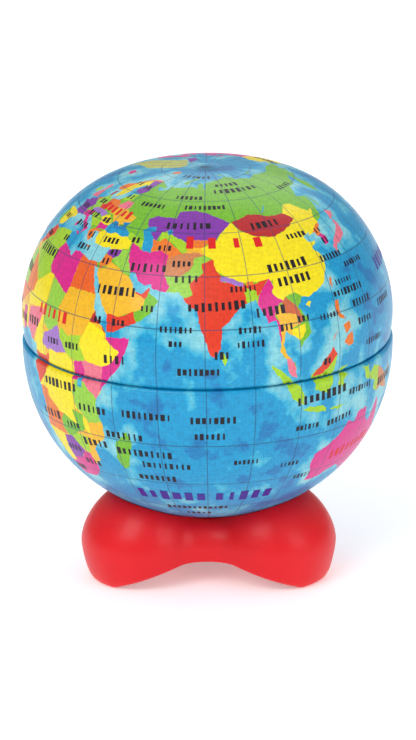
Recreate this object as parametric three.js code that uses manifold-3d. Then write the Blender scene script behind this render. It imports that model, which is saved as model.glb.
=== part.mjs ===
// A printed tinplate globe that opens at its equator, on a moulded three-lobed foot with a pencil
// sharpener inside. The lid lifts off to empty the shavings, the globe turns on its foot, and the
// pencil goes in from below. Millimetres, +Z up. The origin is on the table under the globe's axis,
// and the front, where two of the lobes point, is -Y.
import * as THREE from "three";
import { mergeVertices } from "three/addons/utils/BufferGeometryUtils.js";
import Module from "manifold-3d";

const wasm = await Module();
wasm.setup();

// ---------------------------------------------------------------- driving dimensions
// Globe
const GLOBE_RADIUS = 30;
const TIN = 0.3; // sheet thickness
const SEAM_HEIGHT = 39.3; // table to the middle of the seam
const SEAM_GAP = 0.3; // between the lid's edge and the lower shell's shoulder
const LID_WIDEST = 4.3; // above the seam
const LID_HEIGHT = 27.9; // seam to pole
const LID_ACROSS = 2.8; // exponents of the dome's superellipse: its pole is flattened
const LID_UPWARD = 1.8;
const LID_TAPER = 0.25; // how far the lid's side draws in below its widest level
const LID_ROLL = 1.1; // radius of the edge that is rolled in
const LID_ROLL_TURN = 60; // degrees of that roll
const BOWL_DEPTH = 28.9; // widest level to the bottom of the lower shell
const BOWL_FULLNESS = 2.1; // exponent of the bowl's superellipse
const SHOULDER = 0.5; // radius of the lower shell's shoulder
const NECK_CLEARANCE = 0.2; // neck to the lid's rolled edge
const NECK_FILLET = 0.4;
const NECK_HEIGHT = 4.5; // above the seam
const NECK_CURL = 0.8; // radius of the curl on the neck's rim
const NECK_CURL_TURN = 150; // degrees of that curl

// Foot
const LOBE_COUNT = 3;
const BACK_LOBE = 90; // degrees from +X
const LOBE_DISTANCE = 12.5; // axis to a lobe's centre
const LOBE_RADIUS = 9.9;
const WAIST = 12.4; // axis to the side between two lobes
const ARCH = 4.2; // how far the edge rises between two lobes
const ARCH_CROWN = 0.4; // exponent of that rise: the lower, the rounder its crown
const LANDING = 0.95; // the share of a lobe's reach past which its edge is flat on the table
const FOOT_WIDEST = 6.3; // above the table
const UNDERCUT = 1.9; // how far a lobe draws in below its widest level
const UNDERCUT_SPREAD = 1.44; // exponent: the higher, the less the waist draws in
const UNDERCUT_FULLNESS = 1.5;
const SADDLE_FULLNESS = 1.74;
const LOBE_RIM = { radius: 11.9, rise: 5.95 }; // where a lobe's side would end, above the bowl's bottom
const WAIST_RIM = { radius: 9.6, rise: 1.05 };
const FOOT_WALL = 1.9;
const FOOT_FLAT = 3; // width of the flat under a lobe's edge, before it is hollowed
const FOOT_ROOF = 2; // under the cup
const CUP_GAP = 0.35; // between the tin and what it turns between

// Pencil way and sharpener
const PENCIL_RADIUS = 4.1;
const TUBE_WALL = 0.9;
const SPIGOT_RADIUS = 8.5; // the holder's part that passes through the lower shell
const SPIGOT_CLEARANCE = 0.35;
const FLANGE_RADIUS = 11.6;
const FLANGE_THICKNESS = 1.4;
const HOLDER_RISE = 5.25; // from the bowl's bottom up to where the sharpener stands
const SOCKET_RADIUS = 9.6; // of the collar under the socket
const SOCKET_HEIGHT = 5;
const SOCKET_WALL = 1.3;
const SOCKET_CLEARANCE = 0.15;
const BODY_LENGTH = 24;
const BODY_WIDTH = 15;
const BODY_DEPTH = 10.4;
const BODY_TAPER = 0.75; // width at the tip, as a share of the width at the mouth
const MOUTH_RADIUS = 3.9;
const MOUTH_LIP = 2.4;
const CONE_LENGTH = 20;
const CONE_TIP = 0.8;
const BLADE_BED = 0.15; // from the cone to the face that the blade lies on
const THROAT_WIDTH = 3.6;
const THROAT_DEPTH = 2.2;
const GRIP_RADIUS = 1.1; // flutes in the body's sides
const GRIP_DEPTH = 0.45;
const GRIP_COUNT = 5;
const GRIP_PITCH = 2.6;
const BLADE_LENGTH = 19.5;
const BLADE_WIDTH = 5.3;
const BLADE_THICKNESS = 0.55;
const BLADE_START = 2.9; // from the mouth
const BLADE_GAP = 0.05; // between the blade and the faces that hold it
const GRIND = 0.9; // width of the ground edge
const EDGE_LAND = 0.15; // share of the blade's thickness left at the edge
const BLADE_SCREW_ALONG = 13; // from the mouth
const BLADE_SCREW_ASIDE = 3.2; // from the cutting edge

// Base plate
const PLATE_RECESS = 0.3; // from the arch's crown up to the plate's lower face
const PLATE_THICKNESS = 1.4;
const PLATE_CLEARANCE = 0.25;
const PLATE_BEVEL = 0.8; // lead-in around the pencil hole
const PLATE_SCREW_CIRCLE = 14;

// Screws
const HOLDER_SCREW_GAP = 0.2; // from the pencil tube to a holder screw's head
const HOLDER_SCREW = { shank: 0.9, head: 1.2, headHeight: 1.1, length: 5.6 };
const PLATE_SCREW = { shank: 0.9, head: 1.8, headHeight: 1.1, length: 5.5 };
const BLADE_SCREW = { shank: 1, head: 1.9, headHeight: 1.1, length: 4.2 };
const SCREW_CLEARANCE = 0.12; // around a shank, in the hole it sits in
const BOSS_WALL = 1.3;
const SLOT_WIDTH = 0.5;
const SLOT_DEPTH = 0.55;

// Facets
const TURNED_SEGMENTS = 48;
const FOOT_SEGMENTS = 72;
const HOLE_SEGMENTS = 20;
const DOME_STEPS = 10;
const ARC_STEPS = 3;

// ---------------------------------------------------------------- worked-out places
const lidEdge = SEAM_HEIGHT + SEAM_GAP / 2;
const shoulderTop = SEAM_HEIGHT - SEAM_GAP / 2;
const bowlWidest = shoulderTop - SHOULDER;
const bowlBottom = bowlWidest - BOWL_DEPTH;
const rollTurn = THREE.MathUtils.degToRad(LID_ROLL_TURN);
const rollCentre = new THREE.Vector2(
  GLOBE_RADIUS - LID_TAPER - LID_ROLL,
  lidEdge + LID_ROLL * Math.sin(rollTurn),
);
const lidMouth = rollCentre.x + (LID_ROLL - TIN) * Math.cos(rollTurn);
const neckRadius = lidMouth - NECK_CLEARANCE;
const neckTop = SEAM_HEIGHT + NECK_HEIGHT;
const shellHole = SPIGOT_RADIUS + SPIGOT_CLEARANCE;
const platform = bowlHeight(shellHole) - CUP_GAP;
const aboveFoot = bowlBottom + LOBE_RIM.rise + 1;
const holderFloor = bowlBottom + HOLDER_RISE;
const plateBottom = ARCH + PLATE_RECESS;
const plateTop = plateBottom + PLATE_THICKNESS;
const tubeRadius = PENCIL_RADIUS + TUBE_WALL;
const holderScrewCircle = tubeRadius + HOLDER_SCREW_GAP + HOLDER_SCREW.head;
const lobeAngles = Array.from(
  { length: LOBE_COUNT },
  (_, i) => THREE.MathUtils.degToRad(BACK_LOBE + (360 * i) / LOBE_COUNT),
);
const coneSlope = (MOUTH_RADIUS - CONE_TIP) / CONE_LENGTH;
const bedTilt = Math.atan(coneSlope);

// The lower shell's outer surface, as height over radius.
function bowlHeight(radius) {
  const across = (radius / GLOBE_RADIUS) ** BOWL_FULLNESS;
  return bowlWidest - BOWL_DEPTH * (1 - across) ** (1 / BOWL_FULLNESS);
}

// ---------------------------------------------------------------- solids from geometry
function solid(geometry) {
  const bare = geometry.clone();
  bare.deleteAttribute("normal");
  bare.deleteAttribute("uv");
  const merged = mergeVertices(bare, 1e-4);
  return new wasm.Manifold(
    new wasm.Mesh({
      numProp: 3,
      vertProperties: new Float32Array(merged.attributes.position.array),
      triVerts: new Uint32Array(merged.index.array),
    }),
  );
}

function geometryOf(manifold) {
  const mesh = manifold.getMesh();
  const geometry = new THREE.BufferGeometry();
  geometry.setAttribute("position", new THREE.BufferAttribute(mesh.vertProperties, 3));
  geometry.setIndex(new THREE.BufferAttribute(mesh.triVerts, 1));
  const faceted = geometry.toNonIndexed();
  faceted.computeVertexNormals();
  return faceted;
}

// A profile of [radius, height] points, turned about the Z axis.
function turned(profile, segments = TURNED_SEGMENTS) {
  const points = profile.map(([r, z]) => new THREE.Vector2(r, z));
  return new THREE.LatheGeometry(points, segments).rotateX(Math.PI / 2);
}

function cylinder(radius, bottom, top, x = 0, y = 0, segments = HOLE_SEGMENTS) {
  return cone(radius, radius, bottom, top, x, y, segments);
}

function cone(bottomRadius, topRadius, bottom, top, x = 0, y = 0, segments = HOLE_SEGMENTS) {
  return new THREE.CylinderGeometry(topRadius, bottomRadius, top - bottom, segments)
    .rotateX(Math.PI / 2)
    .translate(x, y, (bottom + top) / 2);
}

function box(lowest, highest) {
  const size = highest.map((value, i) => value - lowest[i]);
  const middle = highest.map((value, i) => (value + lowest[i]) / 2);
  return new THREE.BoxGeometry(...size).translate(...middle);
}

// Points on an arc, from one angle to another in degrees, both ends included.
function arc(centreRadius, centreHeight, radius, from, to, steps = ARC_STEPS) {
  const points = [];
  for (let i = 0; i <= steps; i++) {
    const angle = THREE.MathUtils.degToRad(from + ((to - from) * i) / steps);
    points.push([centreRadius + radius * Math.cos(angle), centreHeight + radius * Math.sin(angle)]);
  }
  return points;
}

// The path moved to its left by a sheet's thickness.
function inner(path, thickness) {
  return path.map(([r, z], i) => {
    const before = path[Math.max(i - 1, 0)];
    const after = path[Math.min(i + 1, path.length - 1)];
    const run = Math.hypot(after[0] - before[0], after[1] - before[1]);
    const across = [-(after[1] - before[1]) / run, (after[0] - before[0]) / run];
    return [r + across[0] * thickness, z + across[1] * thickness];
  });
}

function aroundLobes(make) {
  return lobeAngles.map((angle) => make(Math.cos(angle), Math.sin(angle)));
}

// ---------------------------------------------------------------- globe
// The lid: an edge rolled inwards, a nearly upright side and a dome with a flattened pole.
function upperShell() {
  const path = arc(rollCentre.x, rollCentre.y, LID_ROLL, -LID_ROLL_TURN, 0);
  const side = SEAM_HEIGHT + LID_WIDEST - rollCentre.y;
  path.push([GLOBE_RADIUS - LID_TAPER / 4, rollCentre.y + side / 2]);
  const rise = LID_HEIGHT - LID_WIDEST;
  for (let i = 0; i < DOME_STEPS; i++) {
    const turn = (i / DOME_STEPS) * (Math.PI / 2);
    path.push([
      GLOBE_RADIUS * Math.cos(turn) ** (2 / LID_ACROSS),
      SEAM_HEIGHT + LID_WIDEST + rise * Math.sin(turn) ** (2 / LID_UPWARD),
    ]);
  }
  const pole = SEAM_HEIGHT + LID_HEIGHT;
  const inside = inner(path, TIN).reverse();
  return turned([[0, pole - TIN], ...inside, ...path, [0, pole]]);
}

// The lower shell: a bowl with a round hole at the bottom, a shoulder that the lid's edge sits over,
// and a neck with a curled rim that the lid slides down around.
function lowerShell() {
  const path = [];
  const start = Math.acos((shellHole / GLOBE_RADIUS) ** (BOWL_FULLNESS / 2));
  for (let i = 0; i < DOME_STEPS; i++) {
    const turn = start * (1 - i / DOME_STEPS);
    path.push([
      GLOBE_RADIUS * Math.cos(turn) ** (2 / BOWL_FULLNESS),
      bowlWidest - BOWL_DEPTH * Math.sin(turn) ** (2 / BOWL_FULLNESS),
    ]);
  }
  path.push(...arc(GLOBE_RADIUS - SHOULDER, bowlWidest, SHOULDER, 0, 90));
  path.push(...arc(neckRadius + NECK_FILLET, shoulderTop + NECK_FILLET, NECK_FILLET, 270, 180));
  path.push(...arc(neckRadius - NECK_CURL, neckTop - NECK_CURL, NECK_CURL, 0, NECK_CURL_TURN));
  const inside = inner(path, TIN).reverse();
  return turned([...path, ...inside, path[0]]);
}

// ---------------------------------------------------------------- foot
// Distance from the axis to the foot's side at its widest level: round lobes joined by hollow sides.
function footReach(angle) {
  const pitch = (2 * Math.PI) / LOBE_COUNT;
  const back = THREE.MathUtils.degToRad(BACK_LOBE);
  const fromLobe = Math.abs(THREE.MathUtils.euclideanModulo(angle - back + pitch / 2, pitch) - pitch / 2);
  const half = pitch / 2;
  const lobeAlong = LOBE_DISTANCE * Math.cos(half);
  const lobeAside = LOBE_DISTANCE * Math.sin(half);
  const short = WAIST - lobeAlong;
  const hollow = (LOBE_RADIUS ** 2 - short ** 2 - lobeAside ** 2) / (2 * (short - LOBE_RADIUS));
  const hollowCentre = WAIST + hollow;
  const share = LOBE_RADIUS / (LOBE_RADIUS + hollow);
  const joinX = LOBE_DISTANCE + (hollowCentre * Math.cos(half) - LOBE_DISTANCE) * share;
  const joinY = hollowCentre * Math.sin(half) * share;
  if (fromLobe < Math.atan2(joinY, joinX)) {
    const aside = LOBE_DISTANCE * Math.sin(fromLobe);
    return LOBE_DISTANCE * Math.cos(fromLobe) + Math.sqrt(LOBE_RADIUS ** 2 - aside ** 2);
  }
  const fromWaist = half - fromLobe;
  const aside = hollowCentre * Math.sin(fromWaist);
  return hollowCentre * Math.cos(fromWaist) - Math.sqrt(hollow ** 2 - aside ** 2);
}

// The foot's outer form, moved inwards by an inset and let down below its edge by a drop. It is a
// turned blank whose rings are bent to the lobed outline.
function footForm(inset = 0, drop = 0) {
  const lowerSteps = 4;
  const upperSteps = 6;
  const rings = [];
  rings.push(() => [0, ARCH - drop]);
  rings.push(({ edge, low }) => [edge - FOOT_FLAT, low]);
  for (let i = 0; i < lowerSteps; i++) {
    const turn = (1 - i / lowerSteps) * (Math.PI / 2);
    const across = Math.cos(turn) ** (2 / UNDERCUT_FULLNESS);
    const down = Math.sin(turn) ** (2 / UNDERCUT_FULLNESS);
    rings.push(({ reach, edge, low }) => [
      edge + (reach - edge) * across,
      FOOT_WIDEST - (FOOT_WIDEST - low) * down,
    ]);
  }
  for (let i = 0; i <= upperSteps; i++) {
    const turn = (i / upperSteps) * (Math.PI / 2);
    const across = Math.cos(turn) ** (2 / SADDLE_FULLNESS);
    const up = Math.sin(turn) ** (2 / SADDLE_FULLNESS);
    rings.push(({ reach, rim, top }) => [
      rim + (reach - rim) * across,
      FOOT_WIDEST + (top - FOOT_WIDEST) * up,
    ]);
  }
  rings.push(({ top }) => [0, top]);

  const last = rings.length - 1;
  const blank = turned(rings.map((_, i) => [i === 0 || i === last ? 0 : 1, i]), FOOT_SEGMENTS);
  const position = blank.attributes.position;
  for (let i = 0; i < position.count; i++) {
    const ring = Math.round(position.getZ(i));
    const angle = Math.floor(i / rings.length) * ((2 * Math.PI) / FOOT_SEGMENTS);
    const lobed = (footReach(angle) - WAIST) / (LOBE_DISTANCE + LOBE_RADIUS - WAIST);
    const landed = THREE.MathUtils.smoothstep(lobed, 0, LANDING);
    const raised = THREE.MathUtils.smoothstep(lobed, 0, 1);
    const reach = footReach(angle) - inset;
    const [radius, height] = rings[ring]({
      reach,
      edge: reach - UNDERCUT * Math.max(lobed, 0) ** UNDERCUT_SPREAD,
      low: ARCH * (1 - landed) ** ARCH_CROWN - drop,
      rim: THREE.MathUtils.lerp(WAIST_RIM.radius, LOBE_RIM.radius, raised) - inset,
      top: bowlBottom + THREE.MathUtils.lerp(WAIST_RIM.rise, LOBE_RIM.rise, raised) - inset,
    });
    position.setXYZ(i, radius * Math.cos(angle), radius * Math.sin(angle), height);
  }
  return blank;
}

// Everything above the cup: the lower shell's shape grown by a gap, with a flat bottom for the holder.
function aboveCup(gap, floor) {
  const profile = [[0, floor], [shellHole, floor]];
  const steps = 8;
  for (let i = 1; i <= steps; i++) {
    const radius = shellHole + ((GLOBE_RADIUS * 0.9 - shellHole) * i) / steps;
    profile.push([radius, bowlHeight(radius) - gap]);
  }
  const brim = profile[profile.length - 1];
  profile.push([brim[0], brim[1] + 1], [0, brim[1] + 1]);
  return solid(turned(profile));
}

// The foot: one moulding, open below, with a tube for the pencil, a boss in each lobe for the base
// plate's screws and holes for the screws that hold the sharpener holder.
function footShell() {
  let hollow = solid(footForm(FOOT_WALL, ARCH + 1));
  hollow = hollow.subtract(aboveCup(CUP_GAP + FOOT_ROOF, platform - FOOT_ROOF));
  hollow = hollow.subtract(solid(cylinder(tubeRadius, plateTop, aboveFoot)));
  aroundLobes((x, y) => {
    const boss = PLATE_SCREW.shank + BOSS_WALL;
    const column = cylinder(boss, plateTop, aboveFoot, PLATE_SCREW_CIRCLE * x, PLATE_SCREW_CIRCLE * y);
    hollow = hollow.subtract(solid(column));
  });
  let foot = solid(footForm()).subtract(aboveCup(CUP_GAP, platform)).subtract(hollow);
  foot = foot.subtract(solid(cylinder(PENCIL_RADIUS, -1, aboveFoot, 0, 0, TURNED_SEGMENTS)));
  aroundLobes((x, y) => {
    const pilot = PLATE_SCREW.shank + SCREW_CLEARANCE;
    const pilotTop = plateBottom + PLATE_SCREW.length + 0.5;
    const passage = HOLDER_SCREW.shank + SCREW_CLEARANCE;
    foot = foot.subtract(
      solid(cylinder(pilot, 0, pilotTop, PLATE_SCREW_CIRCLE * x, PLATE_SCREW_CIRCLE * y)),
    );
    foot = foot.subtract(
      solid(cylinder(passage, 0, aboveFoot, holderScrewCircle * x, holderScrewCircle * y)),
    );
  });
  return geometryOf(foot);
}

// The base plate closes the foot from below. It has the foot's inner outline.
function basePlate() {
  const outline = solid(footForm(FOOT_WALL + PLATE_CLEARANCE, ARCH + 1));
  const reach = LOBE_DISTANCE + LOBE_RADIUS;
  let plate = outline.intersect(solid(box([-reach, -reach, plateBottom], [reach, reach, plateTop])));
  plate = plate.subtract(solid(cylinder(PENCIL_RADIUS, 0, plateTop + 1, 0, 0, TURNED_SEGMENTS)));
  const leadIn = cone(
    PENCIL_RADIUS + 2 * PLATE_BEVEL,
    PENCIL_RADIUS,
    plateBottom - PLATE_BEVEL,
    plateBottom + PLATE_BEVEL,
    0,
    0,
    TURNED_SEGMENTS,
  );
  plate = plate.subtract(solid(leadIn));
  aroundLobes((x, y) => {
    const hole = PLATE_SCREW.shank + SCREW_CLEARANCE;
    plate = plate.subtract(
      solid(cylinder(hole, 0, plateTop + 1, PLATE_SCREW_CIRCLE * x, PLATE_SCREW_CIRCLE * y)),
    );
  });
  return geometryOf(plate);
}

// ---------------------------------------------------------------- sharpener
// The holder: a spigot through the lower shell, a dished flange that keeps the shell down, and a
// socket for the sharpener's mouth end.
function sharpenerHolder() {
  const flange = [];
  const steps = 3;
  for (let i = 0; i <= steps; i++) {
    const radius = shellHole + ((FLANGE_RADIUS - shellHole) * i) / steps;
    flange.push([radius, bowlHeight(radius) + TIN + CUP_GAP]);
  }
  const rim = flange[steps][1];
  const profile = [
    [PENCIL_RADIUS, platform],
    [SPIGOT_RADIUS, platform],
    [SPIGOT_RADIUS, flange[0][1]],
    ...flange,
    [FLANGE_RADIUS, rim + FLANGE_THICKNESS],
    [SOCKET_RADIUS, rim + FLANGE_THICKNESS],
    [SOCKET_RADIUS, holderFloor],
    [PENCIL_RADIUS, holderFloor],
    [PENCIL_RADIUS, platform],
  ];
  let holder = solid(turned(profile));
  const halfWidth = BODY_WIDTH / 2 + SOCKET_CLEARANCE;
  const halfDepth = BODY_DEPTH / 2 + SOCKET_CLEARANCE;
  const socketTop = holderFloor + SOCKET_HEIGHT;
  const outside = box(
    [-halfWidth - SOCKET_WALL, -halfDepth - SOCKET_WALL, holderFloor - 1],
    [halfWidth + SOCKET_WALL, halfDepth + SOCKET_WALL, socketTop],
  );
  const inside = box([-halfWidth, -halfDepth, holderFloor], [halfWidth, halfDepth, socketTop + 1]);
  const collar = cylinder(SOCKET_RADIUS, platform, socketTop + 1, 0, 0, TURNED_SEGMENTS);
  const bore = cylinder(PENCIL_RADIUS, 0, socketTop + 1, 0, 0, TURNED_SEGMENTS);
  holder = holder.add(solid(outside).intersect(solid(collar)));
  holder = holder.subtract(solid(inside)).subtract(solid(bore));
  aroundLobes((x, y) => {
    const pilot = HOLDER_SCREW.shank + SCREW_CLEARANCE;
    const pilotTop = platform - FOOT_ROOF + HOLDER_SCREW.length + 0.4;
    holder = holder.subtract(
      solid(cylinder(pilot, 0, pilotTop, holderScrewCircle * x, holderScrewCircle * y)),
    );
  });
  return geometryOf(holder);
}

// Places a shape from the blade bed's own frame: x across it, y along it from the mouth, z out of it.
function onBed(geometry) {
  const across = new THREE.Vector3(1, 0, 0);
  const along = new THREE.Vector3(0, Math.sin(bedTilt), Math.cos(bedTilt));
  const out = new THREE.Vector3().crossVectors(across, along);
  const turn = new THREE.Matrix4().makeBasis(across, along, out);
  return geometry.applyMatrix4(turn).translate(0, -MOUTH_RADIUS - BLADE_BED, holderFloor);
}

// The sharpener's body: a wedge with a cone for the pencil, a lip round its mouth, a sloping bed for
// the blade and a throat beside the cutting edge that lets the shavings out.
function sharpenerBody() {
  const back = BODY_DEPTH / 2;
  const bedAt = (height) => coneSlope * height - MOUTH_RADIUS - BLADE_BED;
  const side = new THREE.Shape([
    new THREE.Vector2(back, 0),
    new THREE.Vector2(back, BODY_LENGTH),
    new THREE.Vector2(bedAt(BODY_LENGTH), BODY_LENGTH),
    new THREE.Vector2(bedAt(MOUTH_LIP), MOUTH_LIP),
    new THREE.Vector2(-back, MOUTH_LIP),
    new THREE.Vector2(-back, 0),
  ]);
  const wedge = new THREE.ExtrudeGeometry(side, { depth: BODY_WIDTH, bevelEnabled: false });
  const upright = new THREE.Matrix4().makeBasis(
    new THREE.Vector3(0, 1, 0),
    new THREE.Vector3(0, 0, 1),
    new THREE.Vector3(1, 0, 0),
  );
  wedge.translate(0, 0, -BODY_WIDTH / 2).applyMatrix4(upright);
  const position = wedge.attributes.position;
  for (let i = 0; i < position.count; i++) {
    const share = position.getZ(i) / BODY_LENGTH;
    position.setX(i, position.getX(i) * THREE.MathUtils.lerp(1, BODY_TAPER, share));
  }
  wedge.translate(0, 0, holderFloor);

  let body = solid(wedge);
  const tip = holderFloor + CONE_LENGTH;
  body = body.subtract(solid(cone(MOUTH_RADIUS, CONE_TIP, holderFloor, tip, 0, 0, TURNED_SEGMENTS)));
  body = body.subtract(solid(cylinder(CONE_TIP, tip - 0.1, tip + BODY_LENGTH)));
  const throat = box([-THROAT_WIDTH, MOUTH_LIP, -THROAT_DEPTH], [0, CONE_LENGTH, BODY_DEPTH]);
  body = body.subtract(solid(onBed(throat)));
  const screwHole = cylinder(
    BLADE_SCREW.shank + SCREW_CLEARANCE,
    -BLADE_SCREW.length,
    1,
    BLADE_SCREW_ASIDE,
    BLADE_SCREW_ALONG,
  );
  body = body.subtract(solid(onBed(screwHole)));
  for (const hand of [-1, 1]) {
    for (let i = 0; i < GRIP_COUNT; i++) {
      const height = BODY_LENGTH - GRIP_PITCH * (i + 0.8);
      const face = (BODY_WIDTH / 2) * THREE.MathUtils.lerp(1, BODY_TAPER, height / BODY_LENGTH);
      const flute = new THREE.CylinderGeometry(GRIP_RADIUS, GRIP_RADIUS, BODY_DEPTH * 2, 12);
      flute.translate(hand * (face + GRIP_RADIUS - GRIP_DEPTH), 0, holderFloor + height);
      body = body.subtract(solid(flute));
    }
  }
  return geometryOf(body);
}

// The blade: a flat plate whose cutting edge is ground to a slope and lies along the cone's side.
function sharpenerBlade() {
  const plate = box(
    [0, BLADE_START, BLADE_GAP],
    [BLADE_WIDTH, BLADE_START + BLADE_LENGTH, BLADE_GAP + BLADE_THICKNESS],
  );
  const grindAngle = Math.atan(BLADE_THICKNESS / GRIND);
  const ground = box([-BLADE_WIDTH, 0, 0], [BLADE_WIDTH, BODY_LENGTH, BLADE_WIDTH])
    .rotateY(-grindAngle)
    .translate(0, 0, BLADE_GAP + BLADE_THICKNESS * EDGE_LAND);
  const hole = cylinder(BLADE_SCREW.shank + SCREW_CLEARANCE, -1, 2, BLADE_SCREW_ASIDE, BLADE_SCREW_ALONG);
  let blade = solid(onBed(plate)).subtract(solid(onBed(hole)));
  blade = blade.subtract(solid(onBed(ground)));
  return geometryOf(blade);
}

// ---------------------------------------------------------------- screws
// A pan-head screw with its head's seat at height 0 and its shank going up from it.
function screw({ shank, head, headHeight, length }) {
  const profile = [
    [0, -headHeight],
    [head * 0.7, -headHeight],
    [head, -headHeight * 0.45],
    [head, 0],
    [shank, 0],
    [shank, length - shank],
    [0, length],
  ];
  const blank = solid(turned(profile, HOLE_SEGMENTS));
  const slot = box([-head, -SLOT_WIDTH / 2, -headHeight - 1], [head, SLOT_WIDTH / 2, SLOT_DEPTH - headHeight]);
  return geometryOf(blank.subtract(solid(slot)));
}

// ---------------------------------------------------------------- the assembly
function material(color, roughness, metalness) {
  return new THREE.MeshStandardMaterial({ color, roughness, metalness });
}

const part = new THREE.Group();

function add(name, geometry, finish) {
  const mesh = new THREE.Mesh(geometry, finish);
  mesh.name = name;
  part.add(mesh);
  return mesh;
}

add("upper_shell", upperShell(), material(0x38a7dd, 0.28, 0.1));
add("lower_shell", lowerShell(), material(0x2f9bd6, 0.28, 0.1));
add("foot_shell", footShell(), material(0xdb1330, 0.32, 0));
add("base_plate", basePlate(), material(0xc81029, 0.5, 0));
add("sharpener_holder", sharpenerHolder(), material(0xe9e9e4, 0.45, 0));
add("sharpener_body", sharpenerBody(), material(0xb9bcc0, 0.35, 1));
add("sharpener_blade", sharpenerBlade(), material(0x9fa4aa, 0.25, 1));

const screwNames = ["back", "front_left", "front_right"];
aroundLobes((x, y) => [x, y]).forEach(([x, y], i) => {
  const holderScrew = add(`holder_screw_${screwNames[i]}`, screw(HOLDER_SCREW), material(0xb4b6b8, 0.3, 1));
  holderScrew.position.set(holderScrewCircle * x, holderScrewCircle * y, platform - FOOT_ROOF);
  const plateScrew = add(`plate_screw_${screwNames[i]}`, screw(PLATE_SCREW), material(0xb4b6b8, 0.3, 1));
  plateScrew.position.set(PLATE_SCREW_CIRCLE * x, PLATE_SCREW_CIRCLE * y, plateBottom);
});

const bladeScrew = screw(BLADE_SCREW).rotateX(Math.PI).translate(
  BLADE_SCREW_ASIDE,
  BLADE_SCREW_ALONG,
  2 * BLADE_GAP + BLADE_THICKNESS,
);
add("blade_screw", onBed(bladeScrew), material(0xc9b26a, 0.3, 1));

export default part;
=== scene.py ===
import math
import random

import bmesh
import bpy
import numpy as np
from mathutils import Matrix, Vector
from mathutils.geometry import delaunay_2d_cdt


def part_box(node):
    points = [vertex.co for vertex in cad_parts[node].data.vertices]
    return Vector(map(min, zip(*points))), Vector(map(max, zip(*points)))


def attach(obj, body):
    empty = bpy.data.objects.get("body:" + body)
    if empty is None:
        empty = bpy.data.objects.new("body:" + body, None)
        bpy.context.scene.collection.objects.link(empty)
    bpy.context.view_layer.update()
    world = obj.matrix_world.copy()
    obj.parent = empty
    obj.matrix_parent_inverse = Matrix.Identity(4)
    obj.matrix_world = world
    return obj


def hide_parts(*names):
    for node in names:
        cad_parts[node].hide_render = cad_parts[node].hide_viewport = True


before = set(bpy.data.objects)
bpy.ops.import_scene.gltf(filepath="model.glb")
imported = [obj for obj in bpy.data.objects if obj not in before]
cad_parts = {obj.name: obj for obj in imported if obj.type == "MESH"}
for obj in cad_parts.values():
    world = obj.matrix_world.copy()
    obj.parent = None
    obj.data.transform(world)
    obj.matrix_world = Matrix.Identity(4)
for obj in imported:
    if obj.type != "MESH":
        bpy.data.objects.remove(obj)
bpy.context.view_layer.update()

# ---------------------------------------------------------------- sizes, in metres
MM = 0.001
LID_LOW, LID_HIGH = (Vector(c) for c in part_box("upper_shell"))
BOWL_HIGH = Vector(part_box("lower_shell")[1])
GLOBE_R = LID_HIGH.x
TIN = 0.3 * MM
SEAM_GAP = 0.3 * MM
LID_REST = 0.06 * MM  # the lid's edge stands this little above the shoulder
SEAM_Z = LID_LOW.z - SEAM_GAP / 2
LID_WIDEST = 4.3 * MM  # above the seam
LID_ACROSS, LID_UPWARD = 2.8, 1.8  # exponents of the lid's dome
LID_TAPER = 0.25 * MM
LID_ROLL = 1.1 * MM
LID_ROLL_TURN = math.radians(60)
NECK_R = GLOBE_R - 1.15 * MM
NECK_CURL = 0.8 * MM
NECK_FILLET = 0.4 * MM
SHOULDER = 0.5 * MM
BOWL_DEPTH = 28.9 * MM
BOWL_FULLNESS = 2.1  # exponent of the bowl
HOLE_R = 8.85 * MM
BOWL_WIDEST = SEAM_Z - SEAM_GAP / 2 - SHOULDER
CUP_GAP = 0.35 * MM
BRIM_GAP = 0.1 * MM  # the cup's brim comes this near to the bowl
DOME_STEPS = 60
FILLET_STEPS = 5
SAME_PLACE = 1e-7  # points of a profile nearer than this are one

# The print: degrees of latitude are even near the poles and wider towards the seam.
POLE_SCALE = 0.476 * MM  # along the surface, for a degree of latitude at a pole
SEAM_STRETCH = 5  # exponent: the higher, the nearer to the seam the widening stays
FRONT_LONGITUDE = 75.0
PRINT_TURN = 0.96  # degrees that the lid's and the bowl's print are turned east of the front
SEAM_SLIP = 0.25  # degrees between the two halves of the print

FLOOR_HALF = 1.6  # metres


def linear(hex_colour):
    """sRGB hex to linear RGBA."""
    parts = [int(hex_colour[i : i + 2], 16) / 255 for i in (1, 3, 5)]
    return tuple(c / 12.92 if c <= 0.04045 else ((c + 0.055) / 1.055) ** 2.4 for c in parts) + (1.0,)


# ---------------------------------------------------------------- the printed map
# Outlines are longitude and latitude pairs, east and north positive. Longitudes run from WEST to
# EAST, where the print joins without cutting a land.
WEST, EAST = -170, 190
OCEAN = "#048FC4"
SHELF = "#82CBD6"
DEEP = "#0672B0"

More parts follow.
